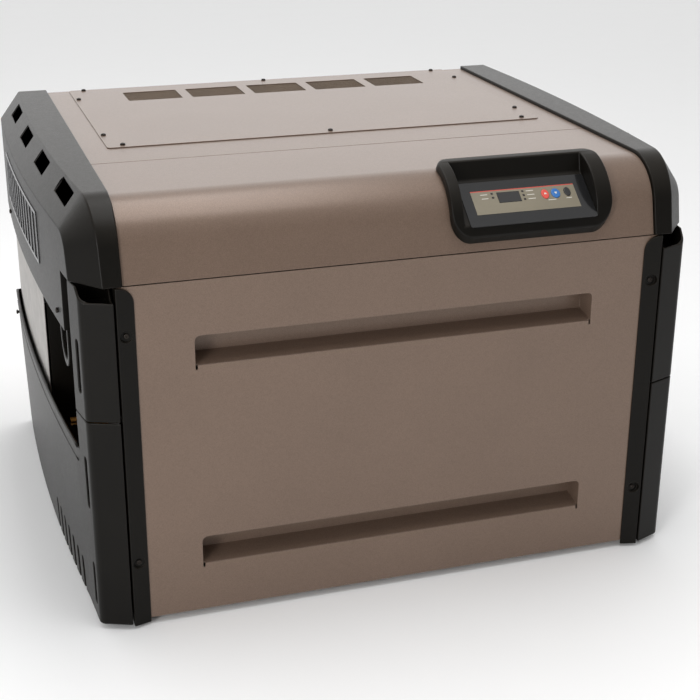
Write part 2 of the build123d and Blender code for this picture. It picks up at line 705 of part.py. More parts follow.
def front_strip():
    """Right door strip: thin at its inner edge, thick at the ridge."""
    low, high = STRIP_FOOT, SEAM_Z - SEAM_GAP
    points = [(STRIP_IN, at(-SKIN_GAP)), (STRIP_IN, at(-STRIP_EDGE)), (RIDGE_HALF - 1, at(-RIDGE_PROUD)),
              (RIDGE_HALF, at(1 - RIDGE_PROUD)), (RIDGE_HALF, at(DOOR_FLANGE)),
              (RIDGE_HALF - STRIP_WALL, at(DOOR_FLANGE)), (RIDGE_HALF - STRIP_WALL, at(-SKIN_GAP))]
    strip = Pos(0, 0, low) * extrude(make_face(Polyline(*points, points[0])), high - low)
    corner = block((STRIP_IN - 1, STRIP_IN + STRIP_RADIUS), (at(-2 * RIDGE_PROUD), at(DOOR_FLANGE + 1)),
                   (high - STRIP_RADIUS, high + 1))
    centre = (STRIP_IN + STRIP_RADIUS, high - STRIP_RADIUS)
    corner -= rod((centre[0], at(-3 * RIDGE_PROUD), centre[1]), (centre[0], at(DOOR_FLANGE + 2), centre[1]),
                  STRIP_RADIUS)
    strip -= corner
    for z in STRIP_SCREW_Z:
        strip -= rod((STRIP_SCREW_X, at(-2 * RIDGE_PROUD), z), (STRIP_SCREW_X, at(-STRIP_FLOOR), z), WELL_R)
        strip -= rod((STRIP_SCREW_X, at(-RIDGE_PROUD), z), (STRIP_SCREW_X, at(1), z), SCREW_R + SCREW_FIT)
    return strip.solid()


def front_strips():
    return group([front_strip(), mirrored(front_strip())])


def door_screws():
    return group(screw((x, at(-STRIP_FLOOR), z), (0, -1, 0), DOOR_SCREW_LONG) for x, z in door_screw_places())


# ---------------------------------------------------------------- sheet metal
def base_skids():
    """Three channels that stand on the ground, open at the top."""
    half = CABINET_HALF - SKID_IN
    skids = []
    for y in (-SKID_Y, 0, SKID_Y):
        skid = tray((-half, half), (y - SKID_WIDE / 2, y + SKID_WIDE / 2), (0, SKID_HIGH), SKID_STEEL, "top")
        if y != 0:
            for x in (-ANCHOR_X, ANCHOR_X):
                skid -= rod((x, y, -1), (x, y, SKID_STEEL + 1), ANCHOR_R)
        skids.append(skid)
    return group(skids)


def base_pan():
    """Pressed floor of the cabinet, with access holes above the anchors."""
    half = SIDE_PANEL_X - PART_GAP
    pan = tray((-half, half), (at(PAN_FRONT), at(DEPTH - 2 * SHEET)), (SKID_HIGH, PAN_HIGH), SHEET, "top")
    for x in (-ANCHOR_X, ANCHOR_X):
        for y in (-SKID_Y, SKID_Y):
            pan -= rod((x, y, SKID_HIGH - 1), (x, y, SKID_HIGH + SHEET + 1), ANCHOR_ACCESS_R)
    return pan.solid()


def side_panel(port_side):
    """Inner side wall of the cabinet, on the right, under the hood line."""
    x = (SIDE_PANEL_X, SIDE_PANEL_X + SHEET)
    front, rear = at(SIDE_PANEL_FRONT), at(DEPTH - SHEET)
    under = hood_side(-2 * SHEET, DEPTH, SKID_HIGH)
    panel = along_x(under, *x) & block((0, outer_half()), (front, rear), (0, TOP_Z))
    flange = block((x[0], STRIP_SCREW_X + FLANGE_BEYOND), (front - SHEET / 2, front + SHEET / 2),
                   (SKID_HIGH + SHEET, POST_TOP - WALL))
    panel += flange
    for z in STRIP_SCREW_Z:
        panel -= rod((STRIP_SCREW_X, front - 2 * SHEET, z), (STRIP_SCREW_X, front + 2 * SHEET, z),
                     SCREW_R + 2 * SCREW_FIT)
    window = header_box(HEADER_WINDOW_FIT)
    panel -= block((0, outer_half()), window[1], window[2])
    panel -= block((0, outer_half()), (at(HOOD_DEPTH), at(HOOD_DEPTH + 3 * SHEET)), (TOP_Z - TOP_FLANGE - 1, TOP_Z))
    if not port_side:
        panel -= rod((CABINET_HALF / 2, at(GAS_D), GAS_Z), (outer_half(), at(GAS_D), GAS_Z), GAS_R + 2)
    else:
        panel -= rod((CABINET_HALF / 2, at(CONDUIT_D), CONDUIT_Z), (outer_half(), at(CONDUIT_D), CONDUIT_Z),
                     CONDUIT_R)
    return panel.solid()


def rear_panel():
    """Painted rear panel with two rows of louvre slots."""
    panel = block((-CABINET_HALF + 1, CABINET_HALF - 1), (at(DEPTH - SHEET), at(DEPTH)),
                  (SKID_HIGH, TOP_Z - TOP_FLANGE - 1))
    pitch = 2 * REAR_SLOT_HALF / (REAR_SLOTS - 1)
    for z in REAR_SLOT_Z:
        for index in range(REAR_SLOTS):
            x = -REAR_SLOT_HALF + index * pitch
            slot = Plane.XZ * (Pos(x, z) * SlotOverall(pitch * 0.7, REAR_SLOT_HIGH))
            panel -= Pos(0, at(DEPTH), 0) * extrude(slot, 2 * SHEET, both=True)
    return panel.solid()


def service_plate(front):
    """Galvanised plate that closes the rear of a connection opening, right side."""
    low, high = OPENING_BOTTOM - PLATE_LAP, OPENING_TOP - PART_GAP
    plate = bow_cylinder(PLATE_IN, low, high) - bow_cylinder(PLATE_IN + SHEET, low - 1, high + 1)
    plate = plate & block((CABINET_HALF, outer_half()), (at(front), at(DEPTH - WALL - 1)), (low, high))
    rear = at(DEPTH - WALL - 1)
    plate += block((CABINET_HALF + 2, side_x(DEPTH) - PLATE_IN - SHEET / 2), (rear - SHEET, rear), (low, high))
    return plate.solid()


def service_plates():
    return group([service_plate(RIGHT_PLATE_FRONT), mirrored(service_plate(LEFT_PLATE_FRONT))])


def port_baffle(front):
    """Black wall between a connection opening and the space behind its plate."""
    low, high = BAFFLE_LOW, OPENING_TOP - PART_GAP
    return block((SIDE_PANEL_X + 2 * SHEET, side_x(front) - PLATE_IN - 3 * SHEET),
                 (at(front + 1), at(front + 1) + 2), (low, high))


def port_baffles():
    right = port_baffle(RIGHT_PLATE_FRONT)
    window = header_box(2 * HEADER_WINDOW_FIT)
    right -= block(*window)
    left = port_baffle(LEFT_PLATE_FRONT) - block(*window)
    return group([right, mirrored(left)])


def bulkhead():
    """Wall between the front compartment and the combustion chamber."""
    half = SIDE_PANEL_X - 2 * SHEET
    wall = block((-half, half), (at(BULKHEAD_D), at(BULKHEAD_D + SHEET)), (SKID_HIGH + SHEET, TOP_Z - 3 * SHEET))
    x, z = duct_window()
    wall -= block(x, (at(BULKHEAD_D - 1), at(BULKHEAD_D + 9)), z)
    for burner_x in burner_places():
        wall -= rod((burner_x, at(BULKHEAD_D - 1), BURNER_Z), (burner_x, at(BULKHEAD_D + 3), BURNER_Z), JET_R + 1)
    wall -= rod((IGNITER_X, at(BULKHEAD_D - 1), IGNITER_Z), (IGNITER_X, at(BULKHEAD_D + 3), IGNITER_Z),
                IGNITER_R + SCREW_FIT)
    return wall.solid()


def top_panel():
    """Painted top sheet behind the hood, open under the exhaust lid."""
    front = HOOD_DEPTH + SEAM_GAP / 2
    panel = tray((-CABINET_HALF, CABINET_HALF), (at(front), at(DEPTH)), (TOP_Z - TOP_FLANGE, TOP_Z), SHEET, "bottom")
    hole = 2 * LID_SCREW_IN - SCREW_R
    panel -= block((-LID_HALF + hole, LID_HALF - hole), (at(LID_FRONT + hole), at(DEPTH - LID_REAR_IN - hole)),
                   (TOP_Z - 2 * SHEET, TOP_Z + 1))
    for x, depth in lid_screw_places():
        panel -= rod((x, at(depth), TOP_Z - 2 * SHEET), (x, at(depth), TOP_Z + 1), SCREW_R + SCREW_FIT)
    return panel.solid()


def vent_box(index, extra=0.0):
    """X and Y limits of one exhaust vent."""
    centre = (index - (VENT_COUNT - 1) / 2) * VENT_PITCH + VENT_SHIFT
    rear = DEPTH - VENT_REAR
    return ((centre - VENT_WIDE / 2 - extra, centre + VENT_WIDE / 2 + extra),
            (at(rear - VENT_LONG - extra), at(rear + extra)))


def exhaust_lid():
    """Flat lid with five vent windows."""
    front, rear = LID_FRONT, DEPTH - LID_REAR_IN
    lid = block((-LID_HALF, LID_HALF), (at(front), at(rear)), (TOP_Z, TOP_Z + SHEET))
    lid = chamfer(lid.edges().filter_by(Axis.Z), LID_CLIP)
    for index in range(VENT_COUNT):
        window = block(*vent_box(index), (TOP_Z - 1, TOP_Z + 2 * SHEET))
        lid -= fillet(window.edges().filter_by(Axis.Z), VENT_CORNER)
    for x, depth in lid_screw_places():
        lid -= rod((x, at(depth), TOP_Z - 1), (x, at(depth), TOP_Z + 2 * SHEET), SCREW_R + SCREW_FIT)
    return lid.solid()


def vent_screens():
    """One slotted screen under each vent window."""
    screens = []
    for index in range(VENT_COUNT):
        x, y = vent_box(index, SCREEN_LAP)
        screen = block(x, y, (TOP_Z - SCREEN_THICK, TOP_Z))
        inner_x, inner_y = vent_box(index, -SCREEN_SLOT)
        pitch = (inner_x[1] - inner_x[0]) / SCREEN_SLOTS
        for slot in range(SCREEN_SLOTS):
            low = inner_x[0] + slot * pitch
            screen -= block((low, low + pitch / 2), inner_y, (TOP_Z - SHEET, TOP_Z + 1))
        screens.append(screen)
    return group(screens)


def front_hood():
    """Painted hood: flat top, rolled front and a cheek at each end."""
    rear = HOOD_DEPTH - SEAM_GAP / 2
    outer = hood_side(0, rear, SEAM_Z)
    half = CABINET_HALF
    hood = along_x(outer - hood_side(-SHEET, rear, SEAM_Z), -half, half)
    cheek = outer - hood_side(-TOP_FLANGE, rear, SEAM_Z)
    hood += along_x(cheek, half - SHEET, half)
    hood += along_x(cheek, -half, SHEET - half)
    return (hood - cup_side(CUP_WALL + PART_GAP)).solid()


# ---------------------------------------------------------------- controls
def label_plane():
    """Sloping floor of the control recess: X across, Y up the slope, Z out of it."""
    tilt = radians(LABEL_TILT)
    centre = ((BEZEL_LEFT + BEZEL_RIGHT) / 2, at(LABEL_D), LABEL_Z)
    return Plane(origin=centre, x_dir=(1, 0, 0), z_dir=(0, -sin(tilt), cos(tilt)))


def slope_point(along, out=0.0):
    """Depth and height of a point up the label slope and out of it."""
    tilt = radians(LABEL_TILT)
    depth = LABEL_D + along * cos(tilt) - out * sin(tilt)
    return depth, LABEL_Z + along * sin(tilt) + out * cos(tilt)


def on_label(face, low, high):
    """Solid between two heights above the label slope."""
    return label_plane().location * (Pos(0, 0, low) * extrude(face, high - low))


def cup_side(grow):
    """The control recess as a solid, grown on its sides, back and floor."""
    top = slope_point(LABEL_LENGTH / 2)
    foot = slope_point(-LABEL_LENGTH / 2)
    tilt = radians(LABEL_TILT)
    drop = (grow * sin(tilt), -grow * cos(tilt))
    high = TOP_Z + 2 * BEZEL_PROUD
    back = BEZEL_BACK + grow
    points = [(at(back), high), (at(top[0] + grow), top[1] + drop[1]), (at(foot[0] + drop[0]), foot[1] + drop[1]),
              (at(foot[0] - 2 * BEZEL_RIM), foot[1] + drop[1] - grow), (at(foot[0] - 2 * BEZEL_RIM), high)]
    view = Plane.YZ * make_face(Polyline(*points, points[0]))
    return along_x(view, BEZEL_LEFT + BEZEL_RIM - grow, BEZEL_RIGHT - BEZEL_RIM - 8 + grow)


def control_bezel():
    """Moulded frame over the hood's bend, with a recess for the controls."""
    width = BEZEL_RIGHT - BEZEL_LEFT
    low, high = BEZEL_ALONG
    outline = Pos(0, (low + high) / 2) * Rectangle(width, high - low)
    corners = outline.vertices().group_by(Axis.Y)
    outline = fillet(corners[-1], BEZEL_UPPER_RADIUS)
    outline = fillet(outline.vertices().group_by(Axis.Y)[0], BEZEL_LOWER_RADIUS)
    prism = on_label(outline, -BEZEL_REACH, BEZEL_REACH)
    skin = hood_side(BEZEL_PROUD, HOOD_DEPTH, SEAM_Z) - hood_side(SKIN_GAP, HOOD_DEPTH, SEAM_Z)
    frame = along_x(skin, BEZEL_LEFT - 1, BEZEL_RIGHT + 1) & prism
    cup = cup_side(CUP_WALL) & along_x(hood_side(1, HOOD_DEPTH, SEAM_Z), BEZEL_LEFT, BEZEL_RIGHT)
    bezel = frame + cup - cup_side(0)
    low_v, high_v = BOARD_ALONG
    board = Pos(BOARD_SHIFT, (low_v + high_v) / 2) * Rectangle(BOARD_LONG - 2 * BOSS_R, high_v - low_v)
    bezel -= on_label(board, -3 * CUP_WALL, 1)
    for x in (-1, 1):
        for v in (low_v - 2 * BOSS_R, high_v + 2 * BOSS_R):
            boss = Pos(BOARD_SHIFT + x * (BOARD_LONG / 2 - BOSS_R), v) * Circle(BOSS_R)
            bezel += on_label(boss, -CUP_WALL - BOSS_HIGH, -CUP_WALL / 2)
    return bezel.solid()


def button_outline(place, grow=0.0):
    """Oval outline of a button: across, up the slope, half width, half height."""
    across, up, half_wide, half_high = place
    return Pos(across, up) * Ellipse(half_wide + grow, half_high + grow)


def control_faceplate():
    """Black membrane carrier on the recess floor, with holes for the buttons."""
    low, high = PLATE_ALONG
    plate = Pos(0, (low + high) / 2) * RectangleRounded(PLATE_LONG, high - low, 3)
    for place in BUTTONS.values():
        plate -= button_outline(place, BUTTON_FIT)
    plate -= Pos(DISPLAY_AT[0], DISPLAY_AT[1]) * Rectangle(DISPLAY_SIZE[0] + 1, DISPLAY_SIZE[1] + 1)
    for across, up in LED_AT:
        plate -= Pos(across, up) * Circle(LED_R + BUTTON_FIT)
    return on_label(plate, 0, PLATE_THICK).solid()


def control_label():
    """Thin printed overlay on the faceplate."""
    low, high = LABEL_ALONG
    label = Pos(LABEL_SHIFT, (low + high) / 2) * Rectangle(LABEL_WIDE, high - low)
    for place in BUTTONS.values():
        label -= button_outline(place, BUTTON_FIT)
    label -= Pos(DISPLAY_AT[0], DISPLAY_AT[1]) * Rectangle(DISPLAY_SIZE[0] + 1, DISPLAY_SIZE[1] + 1)
    for across, up in LED_AT:
        label -= Pos(across, up) * Circle(LED_R + BUTTON_FIT)
    return on_label(label, PLATE_THICK, PLATE_THICK + LABEL_THICK).solid()


def button(name):
    """Oval button cap with a flange that stops it under the faceplate."""
    place = BUTTONS[name]
    cap = on_label(button_outline(place), -BUTTON_STEM, PLATE_THICK + BUTTON_PROUD)
    top = cap.faces().sort_by(lambda face: face.center().dot(label_plane().z_dir))[-1]
    cap = fillet(top.edges(), BUTTON_PROUD * 0.6)
    return (cap + on_label(button_outline(place, BUTTON_FLANGE), -BUTTON_STEM, -BUTTON_FIT)).solid()


def display_window():
    """Dark display block that stands on the board."""
    shape = Pos(*DISPLAY_AT) * RectangleRounded(*DISPLAY_SIZE, 1)
    return on_label(shape, BOARD_TOP, PLATE_THICK + LABEL_THICK + 0.2).solid()


def status_leds():
    """Small round indicator lenses that stand on the board."""
    return group(on_label(Pos(*place) * Circle(LED_R), BOARD_TOP, PLATE_THICK + LABEL_THICK + 0.3) for place in LED_AT)


def display_board():
    """Circuit board under the recess floor."""
    low, high = BOARD_ALONG
    edge = 3 * BOSS_R
    board = Pos(BOARD_SHIFT, (low + high) / 2) * Rectangle(BOARD_LONG, high - low + 2 * edge)
    return on_label(board, BOARD_TOP - BOARD_THICK, BOARD_TOP).solid()


def control_box():
    """Steel box for the electrical parts, open to the front."""
    return tray(CONTROL_X, (at(CONTROL_D), at(BULKHEAD_D)), CONTROL_Z, SHEET, "front").solid()


def control_board():
    """Ignition and relay board with its tall parts."""
    x, z = CONTROL_X, CONTROL_Z
    rear = at(BULKHEAD_D - SHEET - BOARD_STAND)
    board = block((x[0] + BOARD_EDGE, x[1] - BOARD_EDGE), (rear - BOARD_THICK, rear), (z[0] + BOARD_EDGE, z[1] - BOARD_EDGE))
    for index in range(RELAY_COUNT):
        low = x[0] + 2 * BOARD_EDGE + index * RELAY_PITCH
        board += block((low, low + RELAY_PITCH / 2), (rear - BOARD_THICK - RELAY_HIGH, rear - BOARD_THICK),
                       (z[0] + 2 * BOARD_EDGE, z[0] + 2 * BOARD_EDGE + RELAY_PITCH / 2))
    board += block((x[1] - 3 * BOARD_EDGE - RELAY_PITCH, x[1] - 2 * BOARD_EDGE),
                   (rear - BOARD_THICK - 2 * RELAY_HIGH, rear - BOARD_THICK), (z[1] - 3 * BOARD_EDGE - RELAY_PITCH, z[1] - 2 * BOARD_EDGE))
    for sign_x in (x[0] + 2 * BOARD_EDGE, x[1] - 2 * BOARD_EDGE):
        board += rod((sign_x, rear - 1, z[1] - 2 * BOARD_EDGE), (sign_x, rear + BOARD_STAND, z[1] - 2 * BOARD_EDGE), BOSS_R)
    return board.solid()


# ---------------------------------------------------------------- air and gas
def blower_housing():
    """Scroll housing with a downward outlet."""
    x, z = BLOWER_AT
    front, rear = at(BLOWER_D), at(BLOWER_D + BLOWER_DEEP)
    outlet_x = (x - BLOWER_R, x - BLOWER_R + OUTLET_WIDE)
    foot = DUCT_TOP
    shell = rod((x, front, z), (x, rear, z), BLOWER_R) + block(outlet_x, (front, rear), (foot, z))
    hollow = rod((x, front + SHEET, z), (x, rear - SHEET, z), BLOWER_R - SHEET)
    hollow += block((outlet_x[0] + SHEET, outlet_x[1] - SHEET), (front + SHEET, rear - SHEET), (foot - 1, z))
    shell -= hollow
    shell -= rod((x, front - 1, z), (x, front + SHEET + 1, z), MOTOR_R - 4)
    shell -= rod((x, rear - SHEET - 1, z), (x, rear + 1, z), INTAKE_R)
    return shell.solid()


def blower_motor():
    """Motor on the housing's front face."""
    x, z = BLOWER_AT
    front = at(BLOWER_D)
    motor = rod((x, front - MOTOR_LONG, z), (x, front, z), MOTOR_R)
    motor = chamfer(motor.edges().sort_by(Axis.Y)[0], 6)
    motor -= rod((x, front - MOTOR_LONG / 2, z), (x, front + 1, z), SHAFT_R + RUN_FIT)
    return motor.solid()


def blower_impeller():
    """Forward-curved wheel with its motor shaft."""
    x, z = BLOWER_AT
    front = at(BLOWER_D + 3 * SHEET)
    rear = at(BLOWER_D + BLOWER_DEEP - 3 * SHEET)
    wheel = rod((x, front, z), (x, front + 2, z), WHEEL_R)
    blade = block((WHEEL_R - BLADE_LONG + 1, WHEEL_R - 1), (front + 1, rear - 1), (-BLADE_THICK / 2, BLADE_THICK / 2))
    for index in range(BLADE_COUNT):
        wheel += Pos(x, 0, z) * (Rot(0, 360 / BLADE_COUNT * index, 0) * blade)
    wheel += tube((x, rear - 3, z), (x, rear, z), WHEEL_R, BLADE_LONG)
    wheel += rod((x, front, z), (x, front + HUB_LONG, z), 3 * SHAFT_R)
    wheel += rod((x, at(BLOWER_D) - MOTOR_LONG / 2 + 1, z), (x, front + HUB_LONG, z), SHAFT_R)
    return wheel.solid()


def duct_leg(inset, extend=0.0):
    """Air duct as a solid, its walls moved in by inset."""
    x0 = BLOWER_AT[0] - BLOWER_R
    x = (x0 + inset, x0 + OUTLET_WIDE - inset)
    down = block(x, (at(BLOWER_D) + inset, at(BLOWER_D + BLOWER_DEEP) - inset), (DUCT_Z[0] + inset, DUCT_TOP + extend))
    back = block(x, (at(BLOWER_D) + inset, at(CHAMBER_FRONT) + extend), (DUCT_Z[0] + inset, DUCT_Z[1] - inset))
    return down + back


def duct_window():
    """X and Z limits of the hole that the air duct passes through."""
    x0 = BLOWER_AT[0] - BLOWER_R
    return (x0 - 1, x0 + OUTLET_WIDE + 1), (DUCT_Z[0] - 1, DUCT_Z[1] + 1)


def air_duct():
    """Sheet metal duct from the blower to the burner tray."""
    return (duct_leg(0) - duct_leg(SHEET, 1)).solid()


def gas_valve():
    """Cast valve body with side inlet, bottom outlet and knob boss."""
    x, z = VALVE_X, GAS_Z
    body = block((x - VALVE_HALF, x + VALVE_HALF), (at(GAS_D - VALVE_HALF), at(GAS_D + VALVE_HALF)),
                 (z - VALVE_HALF, z + VALVE_HALF))
    body = chamfer(body.edges(), 4)
    body += rod((x - VALVE_HALF - VALVE_BOSS, at(GAS_D), z), (x, at(GAS_D), z), GAS_R + 5)
    body += rod((x, at(GAS_D), z - VALVE_HALF - VALVE_BOSS), (x, at(GAS_D), z), MANIFOLD_R + 5)
    body -= rod((x - VALVE_HALF - VALVE_BOSS - 1, at(GAS_D), z), (x, at(GAS_D), z), GAS_R)
    body -= rod((x, at(GAS_D), z - VALVE_HALF - VALVE_BOSS - 1), (x, at(GAS_D), z), MANIFOLD_R)
    front = at(GAS_D - VALVE_HALF)
    body -= rod((x, front - 1, z), (x, front + KNOB_STEM, z), KNOB_SHAFT_R + RUN_FIT)
    return body.solid()


def gas_valve_knob():
    """Quarter-turn knob on the valve's front."""
    x, z = VALVE_X, GAS_Z
    front = at(GAS_D - VALVE_HALF)
    knob = rod((x, front - KNOB_HIGH, z), (x, front - 1, z), KNOB_R)
    knob += block((x - KNOB_R * 0.9, x + KNOB_R * 0.9), (front - KNOB_HIGH - 5, front - KNOB_HIGH + 1), (z - 3, z + 3))
    knob += rod((x, front - 2, z), (x, front + KNOB_STEM - 1, z), KNOB_SHAFT_R)
    return knob.solid()


def gas_pipe():
    """Supply pipe from the left opening to the valve."""
    start = (-GAS_OUT, at(GAS_D), GAS_Z)
    end = (VALVE_X - VALVE_HALF - 1, at(GAS_D), GAS_Z)
    pipe = rod(start, end, GAS_R)
    pipe += hexagon(start, (GAS_COUPLING - GAS_OUT, at(GAS_D), GAS_Z), COUPLING_HEX)
    pipe -= rod(start, end, GAS_R - GAS_WALL)
    pipe -= rod((start[0] - 1, at(GAS_D), GAS_Z), (GAS_THREAD - GAS_OUT, at(GAS_D), GAS_Z), THREAD_R)
    return pipe.solid()


def burner_places():
    """X of each burner."""
    span = 2 * (CHAMBER_HALF - BURNER_EDGE)
    return [-span / 2 + index * span / (BURNER_COUNT - 1) for index in range(BURNER_COUNT)]


def gas_manifold():
    """Manifold pipe with one jet for each burner, fed from the valve."""
    places = burner_places()
    y = at(MANIFOLD_D)
    pipe = rod((places[0] - 2 * MANIFOLD_R, y, BURNER_Z), (places[-1] + 2 * MANIFOLD_R, y, BURNER_Z), MANIFOLD_R)
    for x in places:
        pipe += rod((x, y, BURNER_Z), (x, at(BULKHEAD_D + 2), BURNER_Z), JET_R)
    pipe += rod((VALVE_X, at(GAS_D), BURNER_Z), (VALVE_X, y, BURNER_Z), MANIFOLD_R)
    pipe += rod((VALVE_X, at(GAS_D), BURNER_Z), (VALVE_X, at(GAS_D), GAS_Z - VALVE_HALF - 1), MANIFOLD_R)
    bore = MANIFOLD_R - GAS_WALL
    pipe -= rod((places[0] - MANIFOLD_R, y, BURNER_Z), (places[-1] + MANIFOLD_R, y, BURNER_Z), bore)
    pipe -= rod((VALVE_X, at(GAS_D), BURNER_Z), (VALVE_X, at(GAS_D), GAS_Z), bore)
    pipe -= rod((VALVE_X, at(GAS_D), BURNER_Z), (VALVE_X, y, BURNER_Z), bore)
    return pipe.solid()


def burners():
    """Slotted tube burners over the whole chamber."""
    rear = at(DEPTH - CHAMBER_REAR_SPACE - 4 * SHEET)
    front = at(CHAMBER_FRONT + 2 * SHEET)
    items = []
    for x in burner_places():
        burner = tube((x, front, BURNER_Z), (x, rear, BURNER_Z), BURNER_R, SHEET)
        burner += rod((x, rear - SHEET, BURNER_Z), (x, rear, BURNER_Z), BURNER_R)
        burner -= block((x - 2, x + 2), (front + BURNER_EDGE, rear - BURNER_EDGE), (BURNER_Z, BURNER_Z + 2 * BURNER_R))
        items.append(burner)
    return group(items)


def burner_tray():
    """Open tray that holds the burners and takes the air."""
    y = (at(CHAMBER_FRONT), at(DEPTH - CHAMBER_REAR_SPACE))
    box = tray((-CHAMBER_HALF, CHAMBER_HALF), y, (SKID_HIGH + SHEET, CHAMBER_Z[0] - PART_GAP), SHEET, "top")
    window_x, window_z = duct_window()
    box -= block((window_x[0] + 2 * SHEET, window_x[1] - 2 * SHEET), (y[0] - 1, y[0] + 2 * SHEET),
                 (window_z[0] + 2 * SHEET, window_z[1] - 2 * SHEET))
    for x in burner_places():
        box -= rod((x, y[0] - 1, BURNER_Z), (x, y[0] + SHEET + 1, BURNER_Z), BURNER_R - 2 * SHEET)
    return box.solid()


def igniter():
    """Ceramic igniter through the chamber's front wall."""
    start = at(BULKHEAD_D - IGNITER_OUT)
    body = rod((IGNITER_X, start, IGNITER_Z), (IGNITER_X, at(CHAMBER_FRONT + IGNITER_IN), IGNITER_Z), IGNITER_R)
    body += rod((IGNITER_X, at(BULKHEAD_D) - SHEET, IGNITER_Z), (IGNITER_X, at(BULKHEAD_D), IGNITER_Z), 2 * IGNITER_R)
    return body.solid()


# ---------------------------------------------------------------- heat train
def chamber_rear():
    return at(DEPTH - CHAMBER_REAR_SPACE)


def tube_places():
    """Y of each exchanger tube."""
    first, last = at(CHAMBER_FRONT) + TUBE_EDGE, chamber_rear() - TUBE_EDGE
    return [first + index * (last - first) / (TUBE_COUNT - 1) for index in range(TUBE_COUNT)]


def combustion_chamber():
    """Steel walls round the fire and the exchanger, open below and above."""
    y = (at(CHAMBER_FRONT), chamber_rear())
    z = (CHAMBER_Z[0], CHAMBER_TOP)
    box = block((-CHAMBER_HALF, CHAMBER_HALF), y, z)
    box -= block((SHEET - CHAMBER_HALF, CHAMBER_HALF - SHEET), (y[0] + SHEET, y[1] - SHEET), (z[0] - 1, z[1] + 1))
    for place in tube_places():
        box -= rod((-CHAMBER_HALF - 1, place, TUBE_Z), (CHAMBER_HALF + 1, place, TUBE_Z), TUBE_R + PART_GAP)
    box -= rod((IGNITER_X, y[0] - 1, IGNITER_Z), (IGNITER_X, y[0] + SHEET + 1, IGNITER_Z), IGNITER_R + SCREW_FIT)
    return box.solid()


def refractory_panels():
    """Insulating boards that line the four chamber walls."""
    x = CHAMBER_HALF - SHEET - PART_GAP
    y = (at(CHAMBER_FRONT) + SHEET + PART_GAP, chamber_rear() - SHEET - PART_GAP)
    z = (CHAMBER_Z[0] + PART_GAP, CHAMBER_Z[1])
    front = block((-x, x), (y[0], y[0] + BOARD_REFRACTORY), z)
    front -= rod((IGNITER_X, y[0] - 1, IGNITER_Z), (IGNITER_X, y[0] + BOARD_REFRACTORY + 1, IGNITER_Z),
                 IGNITER_R + SCREW_FIT)
    rear = block((-x, x), (y[1] - BOARD_REFRACTORY, y[1]), z)
    between = (y[0] + BOARD_REFRACTORY + PART_GAP, y[1] - BOARD_REFRACTORY - PART_GAP)
    right = block((x - BOARD_REFRACTORY, x), between, z)
    return group([front, rear, right, mirrored(right)])


def exchanger_tubes():
    """Straight copper tubes between the headers."""
    half = TUBE_SHEET_X + TUBE_SHEET_THICK + TUBE_STUB
    return group(tube((-half, y, TUBE_Z), (half, y, TUBE_Z), TUBE_R, TUBE_WALL) for y in tube_places())


def exchanger_fins():
    """Thin plates across the tubes."""
    half = CHAMBER_HALF - 4 * SHEET
    count = ceil(2 * half / FIN_PITCH)
    y = (at(CHAMBER_FRONT) + 2 * SHEET, chamber_rear() - 2 * SHEET)
    fin = block((-FIN_THICK / 2, FIN_THICK / 2), y, (TUBE_Z - FIN_HALF, TUBE_Z + FIN_HALF))
    for place in tube_places():
        fin -= rod((-1, place, TUBE_Z), (1, place, TUBE_Z), TUBE_R + FIN_FIT)
    step = (2 * half - FIN_THICK) / count
    return group(Pos(-half + FIN_THICK / 2 + index * step, 0, 0) * fin for index in range(count + 1))


def header_box(grow=0.0):
    """X, Y and Z limits of the right water header, grown all round."""
    y = (at(CHAMBER_FRONT) - grow, chamber_rear() + grow)
    return ((TUBE_SHEET_X + TUBE_SHEET_THICK, HEADER_HALF + grow), y,
            (TUBE_Z - HEADER_HIGH / 2 - grow, TUBE_Z + HEADER_HIGH / 2 + grow))


def tube_sheets():
    """Drilled plate at each end of the tubes."""
    _, y, z = header_box()
    plate = block((TUBE_SHEET_X, TUBE_SHEET_X + TUBE_SHEET_THICK), y, z)
    for place in tube_places():
        plate -= rod((0, place, TUBE_Z), (HEADER_HALF, place, TUBE_Z), TUBE_R + FIN_FIT)
    return group([plate, mirrored(plate)])


def header_shell():
    """Hollow right header, open towards its tube sheet."""
    x, y, z = header_box()
    return tray(x, y, z, HEADER_WALL, "left")


def port_places():
    """Y of the two water connections."""
    return (at(FIRST_PORT), at(FIRST_PORT + PORT_PITCH))


